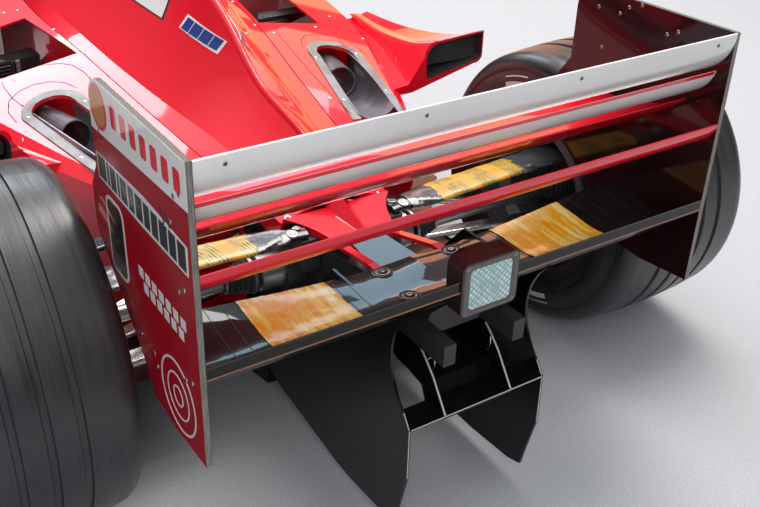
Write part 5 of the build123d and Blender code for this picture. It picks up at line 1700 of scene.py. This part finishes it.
@dataclass
class Wheel(SubAssembly):
    """Trim of one wheel: its nut, valve, disc holes and wall marks, in metres.

    Its face is how far out the spokes stand.
    """

    word: str
    body: Body
    side: int
    face: float
    centre: Vector

    def ring_point(self, along: float, radius: float, angle: float) -> Vector:
        """Give a point about the axle: how far out, how far from it and its angle from the top."""
        turn = math.radians(angle)
        return self.centre + Vector((self.side * along, radius * math.sin(turn), radius * math.cos(turn)))

    def marks(self) -> None:
        """Lay short pale arcs and a fine rib on both walls of the tyre."""
        skin = self.skin(f"{self.word}_tyre")
        arcs = Piece(f"{self.word}_tyre_arcs", 60.0)
        ribs = Piece(f"{self.word}_tyre_ribs", 60.0)
        for way in (1, -1):
            inward = LEFT * -self.side * way
            for start in (-24, 8, 156, 188):
                for radius, width in ((0.250, 0.012), (0.268, 0.003)):
                    starts = [self.ring_point(way * 0.3, radius, start + 16 * k / 12) for k in range(13)]
                    skin.strip(arcs, starts, inward, 0.0003, width, 0.0003)
            for radius in (0.197, 0.284):
                starts = [self.ring_point(way * 0.3, radius, 6 * k) for k in range(61)]
                skin.strip(ribs, starts, inward, 0.0008, 0.002, 0.0012)
        arcs.build([WHITE_INK], Slot.WHITE, self.body)
        ribs.build([SOFT_BLACK], Slot.TYRE, self.body)

    def middle_trim(self) -> None:
        """Make the nut's collar with its pins, the valve and the holes of the brake disc."""
        out = LEFT * self.side
        nut = Piece(f"{self.word}_wheel_nut")
        collar = [(self.face + along, radius) for along, radius in (
            (0.006, 0.036), (0.027, 0.036), (0.031, 0.033), (0.0345, 0.0265))]
        nut.lathe(self.centre, out, collar, 6, caps=False)
        nut.tint = 1
        for k in range(3):
            pin = self.ring_point(self.face + 0.034, 0.013, 120 * k)
            nut.lathe(pin, out, [(0, 0.0035), (0.006, 0.0035), (0.0075, 0.0022)], 12)
        nut.build([BLUE_PAINT if self.side < 0 else RED_PAINT, CHROME], Slot.STEEL, self.body)
        valve = Piece(f"{self.word}_valve")
        foot = self.ring_point(self.face + 0.02, 0.144, 18)
        stem = [(-0.012, 0.003), (0.01, 0.003), (0.0105, 0.0042), (0.02, 0.0042), (0.021, 0.0032)]
        valve.lathe(foot, out + (self.centre - foot).normalized() * 0.3, stem, 12)
        valve.build([SOFT_BLACK], Slot.WHEEL, self.body)
        holes = Piece(f"{self.word}_disc_holes")
        for k in range(30):
            for radius, shift in ((0.088, 0), (0.106, 6)):
                place = self.ring_point(self.face - 0.0601, radius, 12 * k + shift)
                holes.lathe(place, out, [(0, 0.0034), (0.0004, 0.0034)], 8)
        holes.build([SEAM_DARK], Slot.STEEL, self.body)

    def build(self) -> None:
        """Make the wheel's trim."""
        self.marks()
        self.middle_trim()


@dataclass
class Wheels(SubAssembly):
    """The four wheels' trim.

    Each axle has half its track, its height and how far out its spokes stand, in metres.
    """

    front: Triple = (0.745, 0.320, 0.060)
    rear: Triple = (0.7025, 0.325, 0.090)

    def build(self) -> None:
        """Dress each wheel."""
        for body in (Body.FRONT_LEFT, Body.FRONT_RIGHT, Body.REAR_LEFT, Body.REAR_RIGHT):
            word = body.value.removesuffix("_wheel")
            side = 1 if word.endswith("left") else -1
            half_track, up, face = self.front if word.startswith("front") else self.rear
            axle = FRONT_AXLE_Y if word.startswith("front") else REAR_AXLE_Y
            Wheel(self.frame, word, body, side, face, Vector((side * half_track, axle, up))).build()


@dataclass
class Cockpit(SubAssembly):
    """Belts, wheel buttons, display, mirror glass and seams of the cockpit.

    It is in metres, with the steering wheel's tilt in degrees. The mirrors and the opening are placed
    from the front axle, and the opening has half its width and length and the radius of its corners.
    """

    column: Triple = (0.0, -0.370, 0.560)
    tilt: float = 18.0
    buttons: Places = (
        (-0.03, 0.032), (0.03, 0.032), (-0.03, -0.034), (0.0, -0.04), (0.03, -0.034), (-0.012, 0.036),
        (0.012, 0.036),
    )
    shoulder: Places = ((0.075, 0.12), (0.07, 0.04), (0.055, -0.04), (0.03, -0.16))
    lap: Places = ((0.13, -0.13), (0.08, -0.17), (0.03, -0.2))
    mirror: Triple = (0.330, 0.7921, 0.700)
    opening: Triple = (0.2065, 0.3265, 0.1265)
    opening_aft: float = 1.180
    rim_end: float = 0.16
    over: float = 0.9

    def facing(self) -> Vector:
        """Give the direction that the steering wheel faces."""
        return Vector((0, math.cos(math.radians(self.tilt)), math.sin(math.radians(self.tilt))))

    def on_wheel(self, across: float, up: float, stand: float = 0.0) -> Vector:
        """Give a point on the steering wheel's face: across it, up it and off it."""
        out = self.facing()
        return Vector(self.column) + LEFT * across + LEFT.cross(out) * up + out * (0.014 + stand)

    def controls(self) -> None:
        """Set the display and the buttons on the steering wheel."""
        out = self.facing()
        panel = Piece("wheel_display")
        panel.prism([self.on_wheel(x, z) for x, z in rounded(0.036, 0.017, 0.004)], out * 0.003)
        panel.tint = 1
        panel.prism([self.on_wheel(x, z, 0.003) for x, z in rounded(0.03, 0.011, 0.002)], out * 0.0004)
        panel.build([SOFT_BLACK, LAMP_LENS], Slot.DARK, Body.STEERING_WHEEL)
        buttons = Piece("wheel_buttons")
        for k, (x, z) in enumerate(self.buttons):
            buttons.tint = k % 3
            buttons.lathe(self.on_wheel(x, z), out, [(0, 0.0055), (0.004, 0.0055), (0.005, 0.0045)], 18)
        buttons.build([RED_PAINT, AMBER_INK, BLUE_PAINT], Slot.DARK, Body.STEERING_WHEEL)

    def belts(self) -> None:
        """Lay the harness over the seat, with its buckle."""
        skin = self.skin("seat")
        belts = Piece("harness", 60.0)
        for side in SIDES:
            for path in (self.shoulder, self.lap):
                starts = [Vector((side * x, y, self.over)) for x, y in path]
                skin.strip(belts, through(starts, 0.015), DOWN, 0.004, 0.042, 0.003)
        belts.build([BELT_RED], Slot.PADDING)
        buckle = Piece("harness_buckle")
        place, normal = skin.meet(Vector((0, -0.185, self.over)))
        buckle.lathe(place, normal, [
            (0.002, 0.03), (0.012, 0.03), (0.016, 0.026), (0.016, 0.012), (0.013, 0.01)], 30)
        buckle.build([CHROME], Slot.STEEL)

    def trims(self) -> None:
        """Fit the mirrors' glass, the rim of the cockpit and the headrest's seams."""
        glass = Piece("mirror_glass")
        across, aft, up = self.mirror
        for side in SIDES:
            outline = rounded(0.063, 0.0215, 0.01, middle=(side * across, up))
            glass.prism([nose_spot(x, aft, z) for x, z in outline], AFT * 0.0008)
        glass.build([MIRROR_GLASS], Slot.ALLOY)
        rim = Piece("cockpit_rim", 60.0)
        path = [nose_spot(x, y, self.over) for x, y in rounded(*self.opening, 10, (0, self.opening_aft))]
        path = sorted((p for p in path if p.y < self.rim_end), key=lambda p: math.atan2(p.x, -p.y))
        line, _ = self.skin("monocoque", "engine_cover").drape(through(path, 0.02), DOWN, 0.003)
        rim.tube(line, 0.0045, 10)
        rim.build([SOFT_BLACK], Slot.PADDING)
        pad = self.skin("headrest")
        seams = Piece("headrest_seams", 60.0)
        for side in SIDES:
            starts = [Vector((side * 0.165, y, self.over)) for y in (-0.1, 0.0, 0.1, 0.18)]
            pad.strip(seams, through(starts, 0.02), DOWN, 0.0006, 0.003, 0.0006)
        seams.build([SOFT_BLACK], Slot.PADDING)

    def build(self) -> None:
        """Make the cockpit's trim."""
        self.controls()
        self.belts()
        self.trims()


@dataclass
class FrontEnd(SubAssembly):
    """Seams, screws and probe of the nose and the front wing, in metres aft of the front axle and up.

    The angles of a row of screws are in degrees from the left.
    """

    joints: Place = (-0.130, 0.310)
    rows: tuple[float, ...] = (-0.160, -0.100, 0.280, 0.340)
    angles: tuple[float, ...] = (20, 55, 90, 125, 160)
    plate_screws: Places = (
        (-0.800, 0.110), (-0.800, 0.150), (-0.560, 0.100), (-0.560, 0.220), (-0.430, 0.120), (-0.430, 0.240))
    tab_places: tuple[float, ...] = (0.2, 0.42, 0.62)
    tab: Places = (
        (-0.476, 0.190), (-0.440, 0.186), (-0.415, 0.235), (-0.420, 0.252), (-0.450, 0.222))

    def about(self, aft: float, angle: float) -> tuple[Vector, Vector]:
        """Give a ray towards the middle of the nose.

        Args:
            aft: Where it is, aft of the front axle.
            angle: Where it comes from, in degrees from the left.

        Returns:
            Its start and its direction.
        """
        turn = math.radians(angle)
        way = Vector((-math.cos(turn), 0, -math.sin(turn)))
        return nose_spot(0, aft, 0.47) - way * 0.6, way

    def seams(self, skin: Skin) -> None:
        """Lay the seams round the nose.

        Args:
            skin: The nose.
        """
        seams = Piece("nose_seams", 60.0)
        for joint in self.joints:
            met = [skin.meet(*self.about(joint, -30 + 240 * k / 40)) for k in range(41)]
            seams.ribbon([p + n * 0.0005 for p, n in met], [n for _, n in met], 0.003, 0.0006)
        seams.build([SEAM_DARK], Slot.RED)

    def screws(self, skin: Skin) -> None:
        """Set the screws of the nose and of the front endplates.

        Args:
            skin: The nose.
        """
        screws = Piece("nose_screws")
        for row in self.rows:
            for angle in self.angles:
                Screw(0.0048).on(screws, skin, *self.about(row, angle))
        for side in SIDES:
            for aft, up in self.plate_screws:
                Screw(0.0045).add(screws, nose_spot(side * 0.7, aft, up), LEFT * side)
        screws.build([CHROME, SEAM_DARK], Slot.STEEL)

    def build(self) -> None:
        """Make the trim of the nose and the front wing."""
        skin = self.skin("nose_cone", "monocoque")
        self.seams(skin)
        self.screws(skin)
        probe = Piece("speed_probe")
        foot, _ = skin.meet(nose_spot(0, -0.02, 0.9))
        top = foot + UP * 0.07
        probe.tube([foot - UP * 0.004, top], 0.004)
        probe.tube([top + AFT * 0.012, top + AHEAD * 0.07, top + AHEAD * 0.085], [0.004, 0.004, 0.0015])
        probe.build([STEEL], Slot.STEEL)
        tabs = Piece("flap_adjusters")
        for across in (side * x for side in SIDES for x in self.tab_places):
            tabs.prism([nose_spot(across - 0.0015, aft, up) for aft, up in self.tab], LEFT * 0.003)
        tabs.build([SHELL_CARBON], Slot.DARK)


@dataclass
class Scoops(SubAssembly):
    """Smooth outer skins of the winglets, and dark plugs in their throats that paint the shade deep in the
    ducts, in millimetres.

    A section has its place aft, its foot, its inner edge with the top there, and its outer top.
    """

    sections: tuple[tuple[float, float, float, float, float], ...] = (
        (-960, 600, 640, 474, 474), (-760, 548, 602, 480, 482), (-560, 478, 554, 500, 514),
        (-405, 420, 517, 526, 568),
    )
    half: float = 700.0
    # Outline of the dark plug that paints the shade in the throat, across and up.
    shade_plug: Places = (
        (530, 518), (532, 495), (672, 492), (689, 497), (695, 506), (695, 551), (572, 546), (541, 535))
    shade_plug_aft: float = -430.0

    def arc(self, start: Place, middle: Place, end: Place, steps: int) -> Profile:
        """Give an arc through three places.

        Args:
            start: Its start.
            middle: A place on it.
            end: Its end.
            steps: Parts of the arc.

        Returns:
            The arc's places.
        """
        (ax, az), (bx, bz), (cx, cz) = start, middle, end
        shares = [k / steps for k in range(steps + 1)]
        twice = 2 * (ax * (bz - cz) + bx * (cz - az) + cx * (az - bz))
        if abs(twice) < 1.0:
            return [(ax + (cx - ax) * share, az + (cz - az) * share) for share in shares]
        sa, sb, sc = ax * ax + az * az, bx * bx + bz * bz, cx * cx + cz * cz
        ox = (sa * (bz - cz) + sb * (cz - az) + sc * (az - bz)) / twice
        oz = (sa * (cx - bx) + sb * (ax - cx) + sc * (bx - ax)) / twice
        radius = math.hypot(ax - ox, az - oz)
        first, last = math.atan2(az - oz, ax - ox), math.atan2(cz - oz, cx - ox)
        turn = (last - first + math.pi) % (2 * math.pi) - math.pi
        return [(ox + radius * math.cos(first + turn * share), oz + radius * math.sin(first + turn * share))
                for share in shares]

    def profile(self, side: int, section: tuple[float, float, float, float, float]) -> list[Vector]:
        """Give the outline of the top of one section.

        Args:
            side: 1 on the left and -1 on the right.
            section: The section.

        Returns:
            Points from its foot to its outer edge.
        """
        aft, foot, inner, inner_top, outer_top = section
        rise = outer_top - inner_top
        bend = self.arc((inner, inner_top), (inner + 9, inner_top + 0.62 * rise),
                        (inner + 40, outer_top - 6), 6)
        corners = [spot(side * x, aft, z) for x, z in ((foot, 458), (foot + 48, 462), (inner, inner_top))]
        arc = [spot(side * x, aft, z) for x, z in bend]
        rim = spot(side * self.half, aft, outer_top)
        return (between(corners[0], corners[1], 3)[:-1] + between(corners[1], corners[2], 4)[:-1] + arc[:-1]
                + between(arc[-1], rim, 5))

    def build(self) -> None:
        """Make the skins, and the dark plugs that paint the shade deep in the throats."""
        shell = Piece("winglet_skins", 50.0)
        throat_shade = Piece("winglet_throat_shade")
        for side in SIDES:
            rows = [self.profile(side, section) for section in self.sections]
            columns = [curve(list(column), 6) for column in zip(*rows)]
            grid = [list(row) for row in zip(*columns)]
            lifts = []
            for r, row in enumerate(grid):
                normals = [heading(row, c).cross(heading(column, r)).normalized() * side
                           for c, column in enumerate(columns)]
                lifts.append([n if n.z > -0.2 else -n for n in normals])
            raised = [[p + n * 0.0014 for p, n in zip(row, normals)] for row, normals in zip(grid, lifts)]
            shell.sheet(raised, lifts, 0.001)
            # Painted shade: a dark padding plug across the throat stands for the shade deep in the duct.
            throat_shade.prism([spot(side * x, self.shade_plug_aft, z) for x, z in self.shade_plug], AHEAD * 0.002)
        shell.build([RED_PAINT], Slot.RED)
        throat_shade.build([PADDING], Slot.PADDING)


@dataclass
class Coachwork(SubAssembly):
    """Seams, fasteners, plain patches and cooling cores of the bodywork, in millimetres.

    Places are across and aft, but aft and up for the plate, the panel and the leg's end, and across
    and up for the core's front. The plate and the panel are laid on a flank from beside it. A fin's
    ends have their fall, and an end tube its height, its radius in metres and its sides.
    """

    seam_lines: tuple[Places, ...] = (
        ((228, -293), (238, -422), (254, -583), (266, -710), (278, -755), (300, -784), (353, -809),
         (405, -826), (428, -822), (441, -795), (444, -760), (441, -700), (430, -650)),
        ((462, -600), (466, -650), (452, -696), (420, -722), (385, -730), (345, -718), (318, -692),
         (302, -655)),
    )
    screw_places: Places = (
        (297, -1166), (257, -973), (232, -787), (262, -737), (414, -780), (514, -870), (470, -536),
        (225, -386), (560, -1080), (330, -1180), (480, -1180), (520, -700),
    )
    ring_screws: Places = ((305, -590), (435, -600), (386, -385), (252, -365))
    plate: Places = ((-578, 678), (-428, 650), (-436, 622), (-584, 648))
    panel: Places = ((-890, 782), (-672, 728), (-647, 650), (-868, 676))
    beside: float = 400.0
    leg_end: Places = ((249, 446.3), (269, 445.6), (269, 439), (249, 437.6))
    bridge: Places = ((-26, 152), (48, 152), (59, 246), (-34, 246))
    lid: tuple[Triple, ...] = (
        (292, -1094, 490), (466, -1094, 473), (462, -1036, 471), (286, -1036, 488))
    core_front: Places = ((286, 487), (462, 470), (462, 385), (286, 385))
    core_foot: float = 385.0
    fin_levels: range = range(389, 479, 9)
    fin_aft: float = -1028.0
    fin_ends: Places = ((364, 0), (461, 4))
    end_tubes: tuple[tuple[float, float, float, float, int], ...] = (
        (347, -1024, 483, 0.0058, 20), (359, -1027, 481, 0.0036, 16))

    def seams(self, skin: Skin) -> None:
        """Lay the panel seams.

        Args:
            skin: The bodywork.
        """
        seams = Piece("panel_seams", 60.0)
        for side in SIDES:
            for line in self.seam_lines:
                starts = through([spot(side * x, aft, OVERHEAD) for x, aft in line], 0.015)
                skin.strip(seams, starts, DOWN, 0.0004, 0.002, 0.0006)
        seams.build([SEAM_DARK], Slot.RED)

    def fasteners(self, skin: Skin) -> None:
        """Set the screws of the panels, of the tail cover and of the exhaust rings, and the vent's hole.

        Args:
            skin: The bodywork.
        """
        screws = Piece("panel_screws")
        groups = (
            (Screw(0.0048), self.screw_places), (Screw(0.0085, 0.002, 0.0036), ((108, 10),)),
            (Screw(0.0046), self.ring_screws),
        )
        for side in SIDES:
            for screw, places in groups:
                for x, aft in places:
                    screw.on(screws, skin, spot(side * x, aft, OVERHEAD))
        screws.build([CHROME, SEAM_DARK], Slot.STEEL)
        hole = Piece("vent_hole")
        hole.lathe(*skin.meet(spot(-168, -597, OVERHEAD)), [(-0.001, 0.0085), (0.0006, 0.0085)], 24)
        hole.build([SEAM_DARK], Slot.DARK)

    def tail(self) -> None:
        """Carry the tail cover's legs on to the lower wing, and bridge them with a glossy plate."""
        legs = Piece("tail_leg_ends")
        for side in SIDES:
            legs.prism([spot(side * 61.7, aft, up) for aft, up in self.leg_end], LEFT * side * 0.0166)
        legs.build([RED_PAINT], Slot.RED)
        plate = Piece("tail_bridge_plate")
        plate.prism([spot(x, aft, 429) for x, aft in self.bridge], DOWN * 0.002)
        plate.build([SHELL_CARBON], Slot.DARK)

    def sticker(self, piece: Piece, skin: Skin, side: int, corners: Places,
                inner: Place) -> None:
        """Lay a bordered sheet on a flank: the border has tint 1.

        Args:
            piece: Piece that it is added to.
            skin: The flank.
            side: 1 on the left and -1 on the right.
            corners: Its corners, aft and up.
            inner: Length and height of the field inside the border, as shares.
        """
        aft, up = (sum(corner[i] for corner in corners) / 4 for i in (0, 1))
        for (long, tall), tint, lift in (((1.0, 1.0), 1, 0.0007), (inner, 0, 0.0012)):
            shaped = [spot(side * self.beside, aft + (y - aft) * long, up + (z - up) * tall)
                      for y, z in corners]
            piece.tint = tint
            skin.patch(piece, shaped, LEFT * -side, lift)

    def patches(self, skin: Skin) -> None:
        """Lay the small blue plate and the blank panel on the cover's flanks.

        Args:
            skin: The bodywork.
        """
        blue = Piece("cover_blue_plate", 60.0)
        white = Piece("cover_blank_panel", 60.0)
        for side in SIDES:
            self.sticker(blue, skin, side, self.plate, (0.9, 0.8))
            self.sticker(white, skin, side, self.panel, (0.94, 0.94))
            blue.tint = 1
            front, rear, low_rear, low_front = (spot(side * self.beside, *corner) for corner in self.plate)
            for share in (0.25, 0.5, 0.75):
                ends = [front.lerp(rear, share), low_front.lerp(low_rear, share)]
                skin.strip(blue, through(ends, 0.004), LEFT * -side, 0.0016, 0.0016, 0.0004)
        blue.build([BLUE_PAINT, WHITE_PAINT], Slot.WHITE)
        white.build([WHITE_PAINT, BLACK_PAINT], Slot.WHITE)

    def cores(self) -> None:
        """Stand a finned core, its pale end tubes and a dark panel under each cooling window."""
        dark = Piece("cooling_core_frames")
        fins = Piece("cooling_core_fins")
        tubes = Piece("cooling_core_tubes")
        for side in SIDES:
            dark.prism([spot(side * x, aft, up) for x, aft, up in self.lid], DOWN * 0.012)
            dark.prism([spot(side * x, -1036, up) for x, up in self.core_front], AFT * 0.004)
            for low in self.fin_levels:
                start, end = (spot(side * x, self.fin_aft, low - fall) for x, fall in self.fin_ends)
                fins.tube([start, end], 0.0022, 8)
            for tint, (x, aft, high, radius, sides) in enumerate(self.end_tubes):
                tubes.tint = tint
                tubes.tube([spot(side * x, aft, self.core_foot), spot(side * x, aft, high)], radius, sides)
        dark.build([SATIN_CARBON], Slot.DARK)
        fins.build([CASTING], Slot.CASTING)
        tubes.build([EDGE_GREY, CASTING], Slot.ALLOY)

    def build(self) -> None:
        """Make the trim of the bodywork."""
        skin = self.skin("engine_cover", "sidepods", "monocoque", "tail_cover", "winglets", "exhausts")
        self.seams(skin)
        self.fasteners(skin)
        self.tail()
        self.patches(self.skin("engine_cover"))
        self.cores()


def main() -> None:
    """Dress the car: load the frame, then build each sub-assembly in order."""
    logging.basicConfig(level=logging.INFO, format="%(name)s: %(message)s")
    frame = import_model()
    Studio().build()
    Dressing(frame).build()
    for kind in (RearWing, RainLight, Diffuser, Suspension, Wheels, Cockpit, FrontEnd, Scoops, Coachwork):
        kind(frame).build()
        LOG.info("built %s", kind.__name__)


if __name__ == "__main__":
    main()
